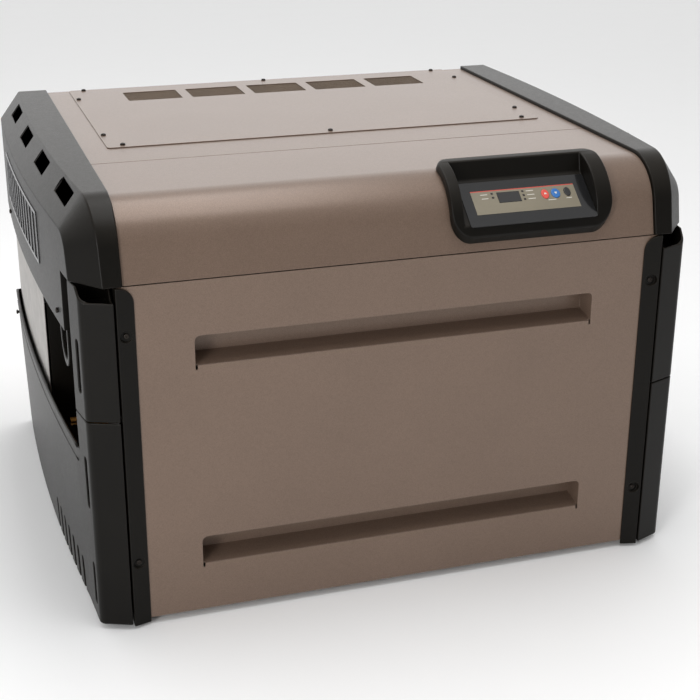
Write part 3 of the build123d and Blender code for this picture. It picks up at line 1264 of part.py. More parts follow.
def flow_header():
    """Right header with both water connections and the bypass shelf."""
    header = header_shell()
    x, _, z = header_box()
    inner = (z[0] + HEADER_WALL / 2, z[1] - HEADER_WALL / 2)
    y0, y1 = at(SHELF_D - SHELF_HALF), at(SHELF_D + SHELF_HALF)
    span = (x[0], x[1] - HEADER_WALL / 2)
    header += block(span, (y0, y0 + HEADER_WALL), (inner[0], SHELF_Z))
    header += block(span, (y0, y1), (SHELF_Z - HEADER_WALL / 2, SHELF_Z))
    header += block(span, (y1 - HEADER_WALL, y1), (SHELF_Z - 1, inner[1]))
    header += rod((BYPASS_X, at(SHELF_D), inner[1]), (BYPASS_X, at(SHELF_D), z[1] + BYPASS_BOSS), 3 * STEM_R)
    header -= rod((BYPASS_X, at(SHELF_D), SHELF_Z - HEADER_WALL), (BYPASS_X, at(SHELF_D), SHELF_Z + 1), BYPASS_R)
    header -= rod((BYPASS_X, at(SHELF_D), inner[1] - HEADER_WALL), (BYPASS_X, at(SHELF_D), z[1] + BYPASS_BOSS - 2),
                  STEM_R + RUN_FIT)
    for y in tube_places():
        header -= rod((x[0] - 1, y, TUBE_Z), (x[0] + TUBE_STUB + PART_GAP, y, TUBE_Z), TUBE_R + PART_GAP)
    for y in port_places():
        header += rod((x[1] - HEADER_WALL / 2, y, TUBE_Z), (x[1] + NECK_LONG, y, TUBE_Z), NECK_R)
        header -= rod((x[1] - 2 * HEADER_WALL, y, TUBE_Z), (x[1] + NECK_LONG + 1, y, TUBE_Z), NECK_BORE)
    return header.solid()


def return_header():
    """Left header that turns the water back, with a drain outlet below."""
    header = header_shell()
    _, _, z = header_box()
    header -= rod((DRAIN_X, at(DRAIN_D), z[0] - 1), (DRAIN_X, at(DRAIN_D), z[0] + HEADER_WALL + 1), DRAIN_R - 2)
    return mirrored(header).solid()


def union_tail(y):
    """Plastic socket piece that takes the pipe."""
    start = HEADER_HALF + NECK_LONG + SKIN_GAP
    tail = rod((start, y, TUBE_Z), (start + TAIL_FLANGE, y, TUBE_Z), NUT_BORE - SKIN_GAP)
    tail += rod((start, y, TUBE_Z), (tail_end(), y, TUBE_Z), TAIL_R)
    tail -= rod((start - 1, y, TUBE_Z), (tail_end() + 1, y, TUBE_Z), NECK_BORE)
    tail -= rod((tail_end() - PORT_DEEP, y, TUBE_Z), (tail_end() + 1, y, TUBE_Z), PORT_R)
    return tail


def tail_end():
    """X of the mouths of the two water sockets."""
    return HEADER_HALF + NECK_LONG + SKIN_GAP + TAIL_STOP + PORT_DEEP


def union_tails():
    return group(union_tail(y) for y in port_places())


def union_nut(y):
    """Ribbed nut that clamps the socket piece to the header's neck."""
    start = HEADER_HALF + SKIN_GAP * 4
    end = HEADER_HALF + NECK_LONG + TAIL_FLANGE + NUT_LIP
    nut = rod((start, y, TUBE_Z), (end, y, TUBE_Z), NUT_R)
    nut -= rod((start - 1, y, TUBE_Z), (end - NUT_LIP + 2 * SKIN_GAP, y, TUBE_Z), NUT_BORE)
    nut -= rod((start, y, TUBE_Z), (end + 1, y, TUBE_Z), TAIL_R + SKIN_GAP)
    for index in range(NUT_RIBS):
        rib = block((start, end), (NUT_R - 1, NUT_R + NUT_RIB), (-NUT_RIB, NUT_RIB))
        nut += Pos(0, y, TUBE_Z) * (Rot(360 / NUT_RIBS * index, 0, 0) * rib)
    return nut


def union_nuts():
    return group(union_nut(y) for y in port_places())


def bypass_valve():
    """Poppet that lifts off the shelf when the flow is too strong."""
    y = at(SHELF_D)
    seat = SHELF_Z + SKIN_GAP
    poppet = rod((BYPASS_X, y, seat), (BYPASS_X, y, seat + POPPET_THICK), BYPASS_R + 3)
    return (poppet + rod((BYPASS_X, y, seat), (BYPASS_X, y, stem_top()), STEM_R)).solid()


def stem_top():
    """Top of the bypass stem at rest, below its blind bore by the lift."""
    return TUBE_Z + HEADER_HIGH / 2 + BYPASS_BOSS - 2 - BYPASS_LIFT - 1


def bypass_spring():
    """Coil spring between the poppet and the header's roof."""
    low = SHELF_Z + SKIN_GAP + POPPET_THICK + SPRING_WIRE + SKIN_GAP
    high = TUBE_Z + HEADER_HIGH / 2 - HEADER_WALL - SPRING_WIRE - SKIN_GAP
    coil = Helix((high - low) / SPRING_TURNS, high - low, SPRING_R)
    wire = sweep(Plane(origin=coil @ 0, z_dir=coil % 0) * Circle(SPRING_WIRE), path=coil)
    return (Pos(BYPASS_X, at(SHELF_D), low) * wire).solid()


def drain_cock():
    """Brass drain cock under the left header, with its tail pipe."""
    y = at(DRAIN_D)
    top = TUBE_Z - HEADER_HIGH / 2 - SKIN_GAP
    body = rod((-DRAIN_X, y, DRAIN_Z), (-DRAIN_X, y, top), DRAIN_R)
    body += hexagon((-DRAIN_X + DRAIN_R, y, DRAIN_Z), (-DRAIN_OUT, y, DRAIN_Z), DRAIN_HEX)
    body += rod((-DRAIN_OUT, y, DRAIN_Z), (-DRAIN_OUT - DRAIN_NOSE, y, DRAIN_Z), DRAIN_R - 1)
    body += rod((-DRAIN_STEM_X, y, DRAIN_Z), (-DRAIN_STEM_X, y, DRAIN_Z + DRAIN_HEX), DRAIN_R - 1)
    body -= rod((-DRAIN_STEM_X, y, DRAIN_Z + 2), (-DRAIN_STEM_X, y, DRAIN_Z + DRAIN_HEX + 1), STEM_R + RUN_FIT)
    return body.solid()


def drain_handle():
    """Wing handle that turns the drain cock."""
    y, z = at(DRAIN_D), DRAIN_Z + DRAIN_HEX
    handle = rod((-DRAIN_STEM_X, y, DRAIN_Z + 3), (-DRAIN_STEM_X, y, z + WING_HIGH / 2), STEM_R)
    wing = block((-DRAIN_STEM_X - WING_HALF, -DRAIN_STEM_X + WING_HALF), (y - 1.5, y + 1.5), (z + 1, z + 1 + WING_HIGH))
    return (handle + fillet(wing.edges().filter_by(Axis.Y), WING_HIGH / 3)).solid()


def flue_collector():
    """Hood over the exchanger with a duct up to the vents."""
    x = CHAMBER_HALF + FLUE_OUT
    front = at(CHAMBER_FRONT - FLUE_OUT)
    vents_x = (vent_box(0, SCREEN_LAP)[0][0], vent_box(VENT_COUNT - 1, SCREEN_LAP)[0][1])
    vents_y = vent_box(0, SCREEN_LAP)[1]
    rear = max(vents_y[1], chamber_rear() + FLUE_OUT)
    low = CHAMBER_TOP + PART_GAP
    form = block((-x, x), (front, rear), (low, FLUE_Z)) + block(vents_x, vents_y, (FLUE_Z - 1, TOP_Z - 2 * SHEET))
    inner = block((-x + SHEET, x - SHEET), (front + SHEET, rear - SHEET), (low + SHEET, FLUE_Z - SHEET))
    inner += block((vents_x[0] + SHEET, vents_x[1] - SHEET), (vents_y[0] + SHEET, vents_y[1] - SHEET),
                   (FLUE_Z - 2 * SHEET, TOP_Z))
    inner += block((SHEET - CHAMBER_HALF, CHAMBER_HALF - SHEET), (at(CHAMBER_FRONT) + SHEET, chamber_rear() - SHEET),
                   (low - 1, low + 2 * SHEET))
    return (form - inner).solid()


def wire(*points):
    """Sleeved cable through its points, with an arc at each bend."""
    path = FilletPolyline(*points, radius=WIRE_BEND)
    return sweep(Plane(origin=path @ 0, z_dir=path % 0) * Circle(WIRE_R), path=path)


def wiring_harness():
    """Sleeved cables between the control box and what it drives."""
    low = CONTROL_Z[0] - SKIN_GAP
    y = at(CONTROL_D + WIRE_IN)
    valve_top = GAS_Z + VALVE_HALF + SKIN_GAP
    motor = (BLOWER_AT[0], at(BLOWER_D - MOTOR_LONG / 2), BLOWER_AT[1] + MOTOR_R + SKIN_GAP)
    to_valve = wire((VALVE_X, y, low), (VALVE_X, y, low - WIRE_DROP), (VALVE_X, at(GAS_D), low - WIRE_DROP),
                    (VALVE_X, at(GAS_D), valve_top))
    out = CONTROL_X[1] - WIRE_IN
    to_motor = wire((out, y, low), (out, y, low - WIRE_DROP), (motor[0], y, low - WIRE_DROP),
                    (motor[0], motor[1], low - WIRE_DROP), motor)
    return group([to_valve, to_motor])


# ---------------------------------------------------------------- all parts
def parts():
    """Every node of the assembly by name."""
    right_cover = upper_cover()
    badge = side_badge()
    return {
        "base_skids": base_skids(),
        "base_pan": base_pan(),
        "rear_panel": rear_panel(),
        "left_side_panel": mirrored(side_panel(False)),
        "right_side_panel": side_panel(True),
        "bulkhead": bulkhead(),
        "service_plates": service_plates(),
        "port_baffles": port_baffles(),
        "top_panel": top_panel(),
        "exhaust_lid": exhaust_lid(),
        "vent_screens": vent_screens(),
        "cabinet_screws": cabinet_screws(),
        "front_hood": front_hood(),
        "right_upper_cover": right_cover,
        "left_upper_cover": mirrored(right_cover),
        "corner_posts": group([corner_post(RIGHT_SPLIT), mirrored(corner_post(LEFT_SPLIT))]),
        "right_lower_cover": lower_cover(RIGHT_SPLIT),
        "left_lower_cover": mirrored(lower_cover(LEFT_SPLIT)),
        "side_badges": group([badge, mirrored(badge)]),
        "front_panel": front_panel(),
        "grip_pans": group([grip_pan(UPPER_POCKET_Z), grip_pan(LOWER_POCKET_Z)]),
        "front_strips": front_strips(),
        "door_screws": door_screws(),
        "control_bezel": control_bezel(),
        "control_faceplate": control_faceplate(),
        "control_label": control_label(),
        "display_window": display_window(),
        "status_leds": status_leds(),
        "up_button": button("up_button"),
        "down_button": button("down_button"),
        "mode_button": button("mode_button"),
        "display_board": display_board(),
        "control_box": control_box(),
        "control_board": control_board(),
        "blower_housing": blower_housing(),
        "blower_motor": blower_motor(),
        "blower_impeller": blower_impeller(),
        "air_duct": air_duct(),
        "gas_valve": gas_valve(),
        "gas_valve_knob": gas_valve_knob(),
        "gas_pipe": gas_pipe(),
        "gas_manifold": gas_manifold(),
        "burners": burners(),
        "burner_tray": burner_tray(),
        "igniter": igniter(),
        "combustion_chamber": combustion_chamber(),
        "refractory_panels": refractory_panels(),
        "exchanger_tubes": exchanger_tubes(),
        "exchanger_fins": exchanger_fins(),
        "tube_sheets": tube_sheets(),
        "flow_header": flow_header(),
        "return_header": return_header(),
        "union_nuts": union_nuts(),
        "union_tails": union_tails(),
        "bypass_valve": bypass_valve(),
        "bypass_spring": bypass_spring(),
        "drain_cock": drain_cock(),
        "drain_handle": drain_handle(),
        "flue_collector": flue_collector(),
        "wiring_harness": wiring_harness(),
    }


if __name__ == "__main__":
    os.makedirs("parts", exist_ok=True)
    for node, shape in parts().items():
        save(node, shape)
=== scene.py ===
import math

import bmesh
import bpy
from mathutils import Matrix, Vector
from mathutils.bvhtree import BVHTree


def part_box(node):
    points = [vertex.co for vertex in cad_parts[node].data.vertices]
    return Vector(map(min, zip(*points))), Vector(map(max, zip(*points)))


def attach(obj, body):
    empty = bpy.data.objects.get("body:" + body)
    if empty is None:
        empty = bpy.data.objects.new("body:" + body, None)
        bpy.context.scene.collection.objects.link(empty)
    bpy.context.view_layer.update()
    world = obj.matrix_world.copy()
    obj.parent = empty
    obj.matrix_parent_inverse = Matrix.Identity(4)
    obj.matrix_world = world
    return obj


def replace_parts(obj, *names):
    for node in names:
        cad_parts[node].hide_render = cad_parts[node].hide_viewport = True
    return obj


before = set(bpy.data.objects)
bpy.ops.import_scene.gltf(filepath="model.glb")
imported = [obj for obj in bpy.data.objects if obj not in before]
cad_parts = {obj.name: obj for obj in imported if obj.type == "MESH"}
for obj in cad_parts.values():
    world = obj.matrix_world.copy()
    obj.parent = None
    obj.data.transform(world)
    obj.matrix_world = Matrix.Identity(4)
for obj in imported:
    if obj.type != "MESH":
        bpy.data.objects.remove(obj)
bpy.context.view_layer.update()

MM = 0.001                  # metres in a millimetre


# ---------------------------------------------------------------- node material helpers
def add(tree, kind, inputs=None, **settings):
    """A shader node with its settings and its inputs, which are values or other nodes' sockets."""
    made = tree.nodes.new(kind)
    for name, value in settings.items():
        setattr(made, name, value)
    for name, value in (inputs or {}).items():
        if isinstance(value, bpy.types.NodeSocket):
            tree.links.new(value, made.inputs[name])
        else:
            made.inputs[name].default_value = value
    return made


def rgb(red, green, blue):
    """A colour given as 0 to 255 screen values, in the linear values that a shader takes."""
    def linear(value):
        share = value / 255
        return share / 12.92 if share <= 0.04045 else ((share + 0.055) / 1.055) ** 2.4
    return (linear(red), linear(green), linear(blue), 1.0)


def ramp(tree, factor, stops):
    """A colour ramp over (place, colour or grey) stops."""
    made = add(tree, "ShaderNodeValToRGB", {"Fac": factor})
    elements = made.color_ramp.elements
    while len(elements) < len(stops):
        elements.new(0.5)
    for element, (place, colour) in zip(elements, stops):
        element.position = place
        element.color = colour if isinstance(colour, tuple) else (colour, colour, colour, 1)
    return made.outputs["Color"]


def mix(tree, factor, first, second, blend="MIX"):
    """Mixes two colours. A mix node's colour sockets are known by number: 6 and 7 in, 2 out."""
    made = add(tree, "ShaderNodeMix", {0: factor, 6: first, 7: second}, data_type="RGBA", blend_type=blend)
    return made.outputs[2]


def math_node(tree, operation, first, second=0.0, third=0.0, clamp=False):
    made = add(tree, "ShaderNodeMath", {0: first, 1: second, 2: third}, operation=operation, use_clamp=clamp)
    return made.outputs[0]


def noise(tree, vector, scale, detail, rough=0.55):
    made = add(tree, "ShaderNodeTexNoise", {"Vector": vector, "Scale": scale, "Detail": detail,
                                            "Roughness": rough})
    return made.outputs["Fac"]


FLAKE_SCALE = 1600.0        # metal flakes to a metre
CHIP_SCALE = 160.0          # chips along a worn edge, to a metre
CHIP_GAIN = 9.0             # how fast wear grows with an edge's turn
DUST_AND_SHEEN_SCALE = 22.0           # patches of dust and painted top sheen to a metre
SWELL_SCALE = 5.0           # slow waves of sheet metal to a metre
CHIP_BUMP = 0.35            # share of the chips in the fine surface grain


def surface(name, colour, worn=None, dust_and_sheen=None, dust_and_sheen_share=0.0, metallic=0.0, roughness=0.5, spread=0.08,
            grain=900.0, grain_depth=0.0, tone=0.12, blotch=9.0, wear=0.35, wear_radius=1.6, coat=0.0,
            coat_roughness=0.2, specular=0.5, flakes=0.0, waves=0.0):
    """A finish with colour and roughness that vary over the piece, a fine surface grain, edges that are
    worn lighter, and dust mixed with a painted highlight on what faces up, lighter there as if lit from
    above.
    Grain and blotch count features to a metre; grain_depth, wear_radius and waves are in millimetres."""
    material = bpy.data.materials.new(name)
    material.use_nodes = True
    tree = material.node_tree
    tree.nodes.clear()
    place = add(tree, "ShaderNodeTexCoord").outputs["Object"]
    geometry = add(tree, "ShaderNodeNewGeometry")
    broad = noise(tree, place, blotch, 4.0)
    fine = noise(tree, place, grain, 2.0)
    dark = tuple(c * (1 - tone) for c in colour[:3]) + (1.0,)
    light = tuple(min(1.0, c * (1 + tone)) for c in colour[:3]) + (1.0,)
    base = ramp(tree, broad, [(0.3, dark), (0.7, light)])
    if flakes:
        cells = add(tree, "ShaderNodeTexVoronoi", {"Vector": place, "Scale": FLAKE_SCALE})
        spark = ramp(tree, cells.outputs["Color"], [(0.35, 1 - flakes), (0.65, 1 + flakes)])
        base = mix(tree, 1.0, base, spark, "MULTIPLY")
    rounded = add(tree, "ShaderNodeBevel", {"Radius": wear_radius * MM}, samples=4)
    turn = add(tree, "ShaderNodeVectorMath", {0: rounded.outputs["Normal"], 1: geometry.outputs["Normal"]},
               operation="DOT_PRODUCT").outputs["Value"]
    edge = math_node(tree, "SUBTRACT", 1.0, turn, clamp=True)
    broken = noise(tree, place, CHIP_SCALE, 5.0, 0.7)
    chips = math_node(tree, "MULTIPLY", broken, CHIP_GAIN * wear)
    edge = math_node(tree, "MULTIPLY", edge, chips, clamp=True)
    if worn:
        base = mix(tree, edge, base, worn)
    # painted highlight: faces that point up are mixed in patches toward a lighter colour, partly dust and
    # partly a painted top sheen standing in for light from above
    if dust_and_sheen:
        up = add(tree, "ShaderNodeSeparateXYZ", {"Vector": geometry.outputs["Normal"]}).outputs["Z"]
        lie = ramp(tree, up, [(0.25, 0.0), (0.95, 1.0)])
        patch = ramp(tree, noise(tree, place, DUST_AND_SHEEN_SCALE, 6.0, 0.65), [(0.2, 0.55), (0.75, 1.0)])
        dust_and_sheen_film = math_node(tree, "MULTIPLY", math_node(tree, "MULTIPLY", lie, patch), dust_and_sheen_share, clamp=True)
        base = mix(tree, dust_and_sheen_film, base, dust_and_sheen)
    rough = math_node(tree, "MULTIPLY_ADD", broken, spread, roughness - spread / 2, clamp=True)
    height = math_node(tree, "ADD", fine, math_node(tree, "MULTIPLY", broken, CHIP_BUMP))
    bump = add(tree, "ShaderNodeBump", {"Height": height, "Distance": grain_depth * MM, "Strength": 1.0})
    if waves:
        swell = add(tree, "ShaderNodeBump", {"Height": noise(tree, place, SWELL_SCALE, 1.0),
                                             "Distance": waves * MM})
        tree.links.new(swell.outputs["Normal"], bump.inputs["Normal"])
    shader = add(tree, "ShaderNodeBsdfPrincipled", {
        "Base Color": base, "Roughness": rough, "Metallic": metallic, "Normal": bump.outputs["Normal"],
        "Coat Weight": coat, "Coat Roughness": coat_roughness, "Specular IOR Level": specular})
    add(tree, "ShaderNodeOutputMaterial", {"Surface": shader.outputs["BSDF"]})
    return material


FINISHES = {
    "painted_taupe": dict(colour=rgb(114, 95, 82), worn=rgb(148, 129, 116), metallic=0.25,
                          roughness=0.38, grain=420, grain_depth=0.05, tone=0.03, wear=0.3,
                          coat=0.22, coat_roughness=0.26, specular=0.4, flakes=0.12, waves=1.2),
    "galvanised_steel": dict(colour=rgb(158, 154, 150), worn=rgb(184, 181, 178), metallic=0.85,
                             roughness=0.42, grain=300, grain_depth=0.03, tone=0.14, blotch=45,
                             wear=0.3),
    # the lighter grey-brown on faces that point up is partly dust and partly a painted highlight of the top
    # sheen
    "black_moulding": dict(colour=rgb(17, 15, 12), worn=rgb(58, 52, 46), dust_and_sheen=rgb(74, 68, 60),
                           dust_and_sheen_share=0.2, specular=0.13, roughness=0.36, spread=0.14, grain=800,
                           grain_depth=0.10, tone=0.12, wear=0.35),
    "vent_screen": dict(colour=rgb(96, 80, 66), worn=rgb(136, 120, 104), metallic=0.5,
                        roughness=0.42, grain_depth=0.02),
    "dark_screw": dict(colour=rgb(40, 35, 31), worn=rgb(96, 88, 82), metallic=0.7, roughness=0.38,
                       grain_depth=0.02, wear_radius=0.5),
    "bright_badge": dict(colour=rgb(120, 120, 121), worn=rgb(165, 166, 168), metallic=1.0,
                         roughness=0.28, grain_depth=0.01, wear_radius=0.6),
    "black_faceplate": dict(colour=rgb(20, 20, 21), worn=rgb(60, 60, 62), roughness=0.18,
                            grain=1500, grain_depth=0.01, coat=0.4, coat_roughness=0.06,
                            wear_radius=0.5),
    "beige_label": dict(colour=rgb(124, 116, 98), worn=rgb(150, 144, 130), roughness=0.42,
                        grain=1500, grain_depth=0.015, wear_radius=0.4),
    "display_glass": dict(colour=rgb(12, 9, 10), worn=rgb(30, 24, 26), roughness=0.08,
                          grain_depth=0.002, coat=1.0, coat_roughness=0.03, wear_radius=0.4),
    "led_lens": dict(colour=rgb(32, 22, 20), worn=rgb(70, 50, 46), roughness=0.2, grain_depth=0.004,
                     coat=0.8, coat_roughness=0.08, wear_radius=0.3),
    "red_button": dict(colour=rgb(214, 74, 62), worn=rgb(235, 130, 116), roughness=0.34, grain=1300,
                       grain_depth=0.02, wear_radius=0.5, coat=0.2),
    "blue_button": dict(colour=rgb(30, 104, 176), worn=rgb(95, 155, 208), roughness=0.34,
                        grain=1300, grain_depth=0.02, wear_radius=0.5, coat=0.2),
    "black_button": dict(colour=rgb(24, 24, 25), worn=rgb(74, 74, 76), roughness=0.34, grain=1300,
                         grain_depth=0.02, wear_radius=0.5, coat=0.2),
    "circuit_board": dict(colour=rgb(24, 82, 48), worn=rgb(140, 150, 110), roughness=0.38,
                          grain=700, grain_depth=0.03, tone=0.3, blotch=180),
    "motor_shell": dict(colour=rgb(70, 72, 76), worn=rgb(130, 132, 136), metallic=0.8,
                        roughness=0.4, grain_depth=0.03),
    "impeller_metal": dict(colour=rgb(150, 152, 154), worn=rgb(190, 192, 194), metallic=0.9,
                           roughness=0.36, grain_depth=0.02),
    "cast_alloy": dict(colour=rgb(158, 156, 150), worn=rgb(200, 198, 194), metallic=0.8,
                       roughness=0.5, grain=260, grain_depth=0.12),
    "knob_red": dict(colour=rgb(170, 34, 28), worn=rgb(210, 90, 80), roughness=0.4,
                     grain_depth=0.03),
    "black_pipe": dict(colour=rgb(44, 43, 44), worn=rgb(96, 88, 80), metallic=0.6, roughness=0.55,
                       grain=240, grain_depth=0.1),
    "burner_steel": dict(colour=rgb(132, 118, 104), worn=rgb(150, 140, 150), metallic=0.85,
                         roughness=0.45, tone=0.25, blotch=30, grain_depth=0.03),
    "igniter_ceramic": dict(colour=rgb(222, 218, 206), worn=rgb(240, 238, 230), roughness=0.45,
                            grain_depth=0.03),
    "refractory_board": dict(colour=rgb(206, 196, 176), worn=rgb(224, 216, 200), roughness=0.9,
                             grain=500, grain_depth=0.35),
    "copper": dict(colour=rgb(186, 110, 76), worn=rgb(220, 150, 112), metallic=1.0, roughness=0.34,
                   tone=0.2, blotch=24, grain_depth=0.02),
    "cast_iron_plate": dict(colour=rgb(60, 58, 56), worn=rgb(110, 106, 102), metallic=0.6,
                            roughness=0.62, grain=260, grain_depth=0.18),
    "header_plastic": dict(colour=rgb(30, 31, 33), worn=rgb(80, 82, 84), roughness=0.5, grain=700,
                           grain_depth=0.08),
    "white_socket": dict(colour=rgb(212, 212, 206), worn=rgb(232, 232, 228), roughness=0.4,
                         grain_depth=0.03),
    "valve_brass": dict(colour=rgb(196, 140, 72), worn=rgb(228, 184, 120), metallic=1.0,
                        roughness=0.36, tone=0.16, blotch=60, grain=300, grain_depth=0.06,
                        wear_radius=0.8),
    "spring_steel": dict(colour=rgb(150, 152, 156), worn=rgb(190, 192, 196), metallic=1.0,
                         roughness=0.3, grain_depth=0.01, wear_radius=0.3),
    "wire_sleeve": dict(colour=rgb(36, 36, 38), worn=rgb(80, 80, 82), roughness=0.5,
                        grain_depth=0.03),
}
materials = {slot: surface(slot + "_finish", **finish) for slot, finish in FINISHES.items()}


def dress(node):
    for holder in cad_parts[node].material_slots:
        holder.material = materials[holder.material.name]


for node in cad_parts:
    dress(node)


# ---------------------------------------------------------------- softened edges on the CAD nodes
MERGE = 0.02                # millimetres between corners that are one corner
FLAT = 0.3                  # degrees between facets of one face
SHARP = 28.0                # degrees of turn at an edge that is rounded
ROUND_SEGMENTS = 3


def smooth_group():
    """A modifier that joins the mesh's seams and shades it smooth, before its edges are rounded."""
    group = bpy.data.node_groups.new("join_and_smooth", "GeometryNodeTree")
    group.interface.new_socket("Geometry", in_out="INPUT", socket_type="NodeSocketGeometry")
    group.interface.new_socket("Geometry", in_out="OUTPUT", socket_type="NodeSocketGeometry")
    start = group.nodes.new("NodeGroupInput")
    current = start.outputs[0]
    merge = group.nodes.new("GeometryNodeMergeByDistance")
    merge.inputs["Distance"].default_value = MERGE * MM
    group.links.new(current, merge.inputs["Geometry"])
    current = merge.outputs["Geometry"]
    for attribute in ("custom_normal", "sharp_edge", "sharp_face"):
        remove = group.nodes.new("GeometryNodeRemoveAttribute")
        remove.inputs["Name"].default_value = attribute
        group.links.new(current, remove.inputs["Geometry"])
        current = remove.outputs["Geometry"]
    smooth = group.nodes.new("GeometryNodeSetShadeSmooth")
    group.links.new(current, smooth.inputs["Geometry"])
    end = group.nodes.new("NodeGroupOutput")
    group.links.new(smooth.outputs["Geometry"], end.inputs[0])
    return group


joined = smooth_group()


def soften(node, width):
    """Rounds a CAD node's edges by a width in millimetres. Its own mesh stays as it is."""
    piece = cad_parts[node]
    piece.modifiers.new("join", "NODES").node_group = joined
    flat = piece.modifiers.new("flat", "DECIMATE")
    flat.decimate_type = "DISSOLVE"
    flat.angle_limit = math.radians(FLAT)
    bevel = piece.modifiers.new("bevel", "BEVEL")
    bevel.width = width * MM
    bevel.segments = ROUND_SEGMENTS
    bevel.limit_method = "ANGLE"
    bevel.angle_limit = math.radians(SHARP)
    bevel.use_clamp_overlap = False
    normals = piece.modifiers.new("normals", "WEIGHTED_NORMAL")
    normals.keep_sharp = False


SOFTENED = {
    "front_hood": 0.6, "top_panel": 0.6, "exhaust_lid": 0.6, "front_panel": 0.6, "grip_pans": 0.5,
    "rear_panel": 0.6, "left_upper_cover": 1.6, "right_upper_cover": 1.6, "left_lower_cover": 1.4,
    "right_lower_cover": 1.4, "corner_posts": 1.6, "front_strips": 0.7, "control_bezel": 2.2,
    "side_badges": 0.5, "drain_cock": 0.5, "drain_handle": 0.5, "union_nuts": 0.6, "service_plates": 0.5,
    "gas_pipe": 0.5,
}
for node, width in SOFTENED.items():
    soften(node, width)


# ---------------------------------------------------------------- pieces built here
def new_piece(name, verts, faces, slot, body, smooth=True, finish=None):
    """A mesh piece that belongs to a slot and rides on a body. Its finish is the slot's unless stated."""
    mesh = bpy.data.meshes.new(name)
    mesh.from_pydata(verts, [], faces)
    mesh.polygons.foreach_set("use_smooth", [smooth] * len(mesh.polygons))
    mesh.materials.append(finish or materials[slot])
    piece = bpy.data.objects.new(name, mesh)
    bpy.context.scene.collection.objects.link(piece)
    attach(piece, body)
    return piece


def rod_along(verts, faces, points, radius, sides):
    """Adds a closed round rod along points to a mesh in the making."""
    start = len(verts)
    count = len(points)
    for index, point in enumerate(points):
        ahead = points[min(index + 1, count - 1)] - points[max(index - 1, 0)]
        forward = ahead.normalized()
        across = forward.cross(Vector((0, 0, 1))).normalized()
        over = across.cross(forward)
        for side in range(sides):
            angle = 2 * math.pi * side / sides
            verts.append(point + across * math.cos(angle) * radius + over * math.sin(angle) * radius)
    for index in range(count - 1):
        for side in range(sides):
            a = start + index * sides + side
            b = start + index * sides + (side + 1) % sides
            faces.append((a, b, b + sides, a + sides))
    faces.append(tuple(start + side for side in reversed(range(sides))))
    faces.append(tuple(start + (count - 1) * sides + side for side in range(sides)))


# ---------------------------------------------------------------- woven wire in the lid's vents
SCREENS = 5
SCREEN_PITCH = 108.1        # from one vent to the next
WIRE_PITCH = 2.9
WIRE_RADIUS = 0.5
WIRE_SIDES = 4
WEAVE = 0.9                 # rise of a wire over the one it crosses, in wire radii


def wire_points(start, length, height, lag):
    """One wire's places along its run, with heights that pass over and under the wires it crosses."""
    steps = 2 * int(length / (WIRE_PITCH * MM))
    for step in range(steps + 1):
        wave = math.cos(math.pi * step / 2 + lag)
        yield start + length * step / steps, height + wave * WIRE_RADIUS * MM * WEAVE


def woven_screen(verts, faces, left, wide, near, long, height):
    """Adds one screen: wires along X, then wires along Y half a wave behind them."""
    for wire in range(int(long / (WIRE_PITCH * MM))):
        y = near + (wire + 0.5) * WIRE_PITCH * MM
        points = [Vector((x, y, z)) for x, z in wire_points(left, wide, height, math.pi * (wire % 2))]
        rod_along(verts, faces, points, WIRE_RADIUS * MM, WIRE_SIDES)
    for wire in range(int(wide / (WIRE_PITCH * MM))):
        x = left + (wire + 0.5) * WIRE_PITCH * MM
        points = [Vector((x, y, z)) for y, z in wire_points(near, long, height, math.pi * (wire % 2 + 1))]
        rod_along(verts, faces, points, WIRE_RADIUS * MM, WIRE_SIDES)


def woven_vents():
    low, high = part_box("vent_screens")
    wide = high.x - low.x - (SCREENS - 1) * SCREEN_PITCH * MM
    verts, faces = [], []
    for screen in range(SCREENS):
        left = low.x + screen * SCREEN_PITCH * MM
        woven_screen(verts, faces, left, wide, low.y, high.y - low.y, (low.z + high.z) / 2)
    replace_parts(new_piece("vent_mesh", verts, faces, "vent_screen", "cabinet"), "vent_screens")


woven_vents()

# ---------------------------------------------------------------- rolled lips on the lower covers
LIP_ROWS = ((1.2, 2.3), (21.0, 2.0))     # down from the cover's edge, and radius
LIP_STEPS = 60
LIP_SIDES = 10
LIP_SUNK = 0.45             # share of its radius that a lip is sunk into the cover
LIP_FRONT = 75.0            # lip's front end behind the cover's
LIP_REAR = 4.0              # lip's rear end ahead of the cover's
LIP_BELOW = 0.5             # the face is found this far under a lip's middle
EDGE_REACH = 200.0          # stretch of the cover's rear where its upper edge is level


def face_tree(node):
    holder = bmesh.new()
    holder.from_mesh(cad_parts[node].data)
    tree = BVHTree.FromBMesh(holder)
    holder.free()
    return tree


def opening_edge(node):
    """Height of the lower cover's upper edge, behind its corner."""
    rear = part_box(node)[1].y
    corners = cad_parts[node].data.vertices
    return max(corner.co.z for corner in corners if corner.co.y > rear - EDGE_REACH * MM)


def rolled_lips(node):
    low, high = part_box(node)
    side = 1 if high.x > 0 else -1
    tree = face_tree(node)
    edge = opening_edge(node)
    front, rear = low.y + LIP_FRONT * MM, high.y - LIP_REAR * MM
    verts, faces = [], []
    for down, radius in LIP_ROWS:
        points = []
        z = edge - down * MM
        for step in range(LIP_STEPS + 1):
            y = front + (rear - front) * step / LIP_STEPS
            met = tree.ray_cast(Vector((side, y, z - LIP_BELOW * MM)), Vector((-side, 0, 0)))[0]
            if met:
                points.append(Vector((met.x - side * radius * MM * LIP_SUNK, y, z)))
        rod_along(verts, faces, points, radius * MM, LIP_SIDES)
    new_piece(node + "_lips", verts, faces, "black_moulding", "cabinet")


for cover in ("left_lower_cover", "right_lower_cover"):
    rolled_lips(cover)

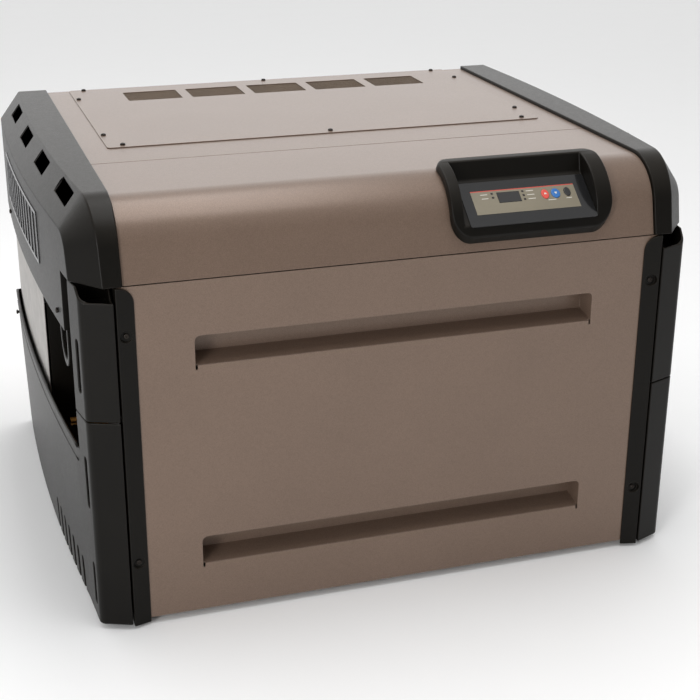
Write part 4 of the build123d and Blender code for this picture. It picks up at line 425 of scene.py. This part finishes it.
# ---------------------------------------------------------------- printing on the control label
LABEL_TILT = math.radians(37.8)
ACROSS = Vector((1, 0, 0))
UP_SLOPE = Vector((0, math.cos(LABEL_TILT), math.sin(LABEL_TILT)))
OUT_SLOPE = Vector((0, -math.sin(LABEL_TILT), math.cos(LABEL_TILT)))
PRINT_THICK = 0.06
LEGEND_HIGH = 1.0
LEFT_LEGENDS = (-36.0, 10.0, (6.7, 0.0))            # across from the display, length, heights above it
RIGHT_LEGENDS = (33.0, 11.0, (7.7, 1.0, -5.8))
BUTTON_LEGEND_DOWN = 10.5   # legends under the buttons
PAIR_LEGEND = 12.0          # length of the legend that the up and down buttons share
MODE_LEGEND = 8.0
RED_LINE = (19.0, 156.0, 1.3)       # up from the label's middle, length, height
ARROW_HALF = 2.4            # half an arrow's width, and its point from the button's middle
ARROW_BASE = 1.3            # its base from the button's middle
ARROW_SUNK = 0.01           # arrows start inside the button's face

PRINT_WHITE = surface("print_white_finish", colour=rgb(214, 210, 200), roughness=0.5, grain_depth=0.003)
PRINT_RED = surface("print_red_finish", colour=rgb(196, 62, 48), roughness=0.45, grain_depth=0.003)


def middle_of(node):
    low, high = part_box(node)
    return (low + high) / 2


def crest(node):
    """How far the node's outermost face stands along the label's normal."""
    return max(corner.co.dot(OUT_SLOPE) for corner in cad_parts[node].data.vertices)


def printed(name, outlines, level, centre, slot, body, finish):
    """Thin raised shapes, given as outlines in millimetres across and up the slope from centre."""
    verts, faces = [], []
    base = centre - OUT_SLOPE * centre.dot(OUT_SLOPE)
    for outline in outlines:
        start = len(verts)
        count = len(outline)
        for height in (0.0, PRINT_THICK):
            for u, v in outline:
                verts.append(base + OUT_SLOPE * (level + height * MM) + ACROSS * u * MM + UP_SLOPE * v * MM)
        faces.append(tuple(start + i for i in reversed(range(count))))
        faces.append(tuple(start + count + i for i in range(count)))
        for i in range(count):
            j = (i + 1) % count
            faces.append((start + i, start + j, start + count + j, start + count + i))
    new_piece(name, verts, faces, slot, body, smooth=False, finish=finish)


def bar(u, v, wide, high):
    left, right, lower, upper = u - wide / 2, u + wide / 2, v - high / 2, v + high / 2
    return [(left, lower), (right, lower), (right, upper), (left, upper)]


def on_label(node):
    """A node's middle as millimetres across and up the slope from the label's middle."""
    offset = middle_of(node) - middle_of("control_label")
    return offset.x / MM, offset.dot(UP_SLOPE) / MM


def label_print():
    display_u, display_v = on_label("display_window")
    legends = []
    for across, length, heights in (LEFT_LEGENDS, RIGHT_LEGENDS):
        legends += [bar(display_u + across, display_v + height, length, LEGEND_HIGH) for height in heights]
    up_u, up_v = on_label("up_button")
    down_u = on_label("down_button")[0]
    mode_u, mode_v = on_label("mode_button")
    legends.append(bar((up_u + down_u) / 2, up_v - BUTTON_LEGEND_DOWN, PAIR_LEGEND, LEGEND_HIGH))
    legends.append(bar(mode_u, mode_v - BUTTON_LEGEND_DOWN, MODE_LEGEND, LEGEND_HIGH))
    line_up, line_long, line_high = RED_LINE
    face, middle = crest("control_label"), middle_of("control_label")
    printed("label_legends", legends, face, middle, "beige_label", "cabinet", PRINT_WHITE)
    printed("label_line", [bar(0, line_up, line_long, line_high)], face, middle, "red_button", "cabinet",
            PRINT_RED)


def button_arrow(button, way):
    """A small triangle on a button that points up the slope where way is 1, and down it where it is -1."""
    arrow = [(-ARROW_HALF, -ARROW_BASE * way), (ARROW_HALF, -ARROW_BASE * way), (0.0, ARROW_HALF * way)]
    level = crest(button) - ARROW_SUNK * MM
    printed(button + "_arrow", [arrow[::way]], level, middle_of(button), "red_button", button, PRINT_WHITE)


label_print()
button_arrow("up_button", 1)
button_arrow("down_button", -1)

# ---------------------------------------------------------------- stage, light and camera
FLOOR_HALF = 30.0
KEY_BOX = ((-2.7, -3.0, 1.3), (0, -0.2, 0.35), (0.9, 1.7), 62)      # place, target, size, watts
TOP_BOX = ((0.1, -0.1, 2.7), (0, -0.1, 0.4), (2.4, 0.9), 30)
ROOM = ((0.0, 0.14), (0.45, 0.30), (0.62, 0.60), (0.88, 1.0))       # brightness from front to back
CEILING = 0.42
CEILING_FROM = ((0.35, 0.0), (0.9, 1.0))
ROOM_STRENGTH = 1.6
CAMERA_AT = Vector((-0.63186, -2.09885, 1.10686))
CAMERA_FORWARD = Vector((0.285408, 0.883291, -0.371941))
CAMERA_UP = Vector((0.110546, 0.355153, 0.928249))
CAMERA_LENS, CAMERA_SENSOR = 73.42, 36.0
CAMERA_NEAR, CAMERA_FAR = 0.05, 100.0


def stage_floor():
    mesh = bpy.data.meshes.new("floor")
    corners = [(-FLOOR_HALF, -FLOOR_HALF, 0), (FLOOR_HALF, -FLOOR_HALF, 0), (FLOOR_HALF, FLOOR_HALF, 0),
               (-FLOOR_HALF, FLOOR_HALF, 0)]
    mesh.from_pydata(corners, [], [(0, 1, 2, 3)])
    mesh.materials.append(surface("floor_finish", colour=rgb(252, 252, 252), roughness=0.8, tone=0.004,
                                  grain_depth=0.05))
    floor = bpy.data.objects.new("floor", mesh)
    bpy.context.scene.collection.objects.link(floor)


def soft_box(name, place, target, size, power):
    data = bpy.data.lights.new(name, "AREA")
    data.shape = "RECTANGLE"
    data.size, data.size_y = size
    data.energy = power
    box = bpy.data.objects.new(name, data)
    box.location = place
    box.rotation_mode = "QUATERNION"
    box.rotation_quaternion = (Vector(target) - Vector(place)).to_track_quat("-Z", "Y")
    bpy.context.scene.collection.objects.link(box)


def studio():
    """A room that is brightest behind the object, dim in front of it, with two soft boxes."""
    world = bpy.data.worlds.new("studio")
    world.use_nodes = True
    tree = world.node_tree
    tree.nodes.clear()
    direction = add(tree, "ShaderNodeTexCoord").outputs["Generated"]
    parts = add(tree, "ShaderNodeSeparateXYZ", {"Vector": direction})
    back = math_node(tree, "MULTIPLY_ADD", parts.outputs["Y"], 0.5, 0.5)
    high = ramp(tree, parts.outputs["Z"], CEILING_FROM)
    sky = mix(tree, high, ramp(tree, back, ROOM), (CEILING, CEILING, CEILING, 1.0))
    shade = add(tree, "ShaderNodeBackground", {"Color": sky, "Strength": ROOM_STRENGTH})
    add(tree, "ShaderNodeOutputWorld", {"Surface": shade.outputs["Background"]})
    bpy.context.scene.world = world
    soft_box("key_box", *KEY_BOX)
    soft_box("top_box", *TOP_BOX)


def front_left_camera():
    data = bpy.data.cameras.new("camera")
    data.lens = CAMERA_LENS
    data.sensor_width = CAMERA_SENSOR
    data.clip_start, data.clip_end = CAMERA_NEAR, CAMERA_FAR
    camera = bpy.data.objects.new("camera", data)
    forward = CAMERA_FORWARD.normalized()
    across = forward.cross(CAMERA_UP).normalized()
    turned = Matrix((across, across.cross(forward), -forward)).transposed().to_4x4()
    camera.matrix_world = Matrix.Translation(CAMERA_AT) @ turned
    bpy.context.scene.collection.objects.link(camera)
    bpy.context.scene.camera = camera


stage_floor()
studio()
front_left_camera()
bpy.context.scene.view_settings.view_transform = "Standard"
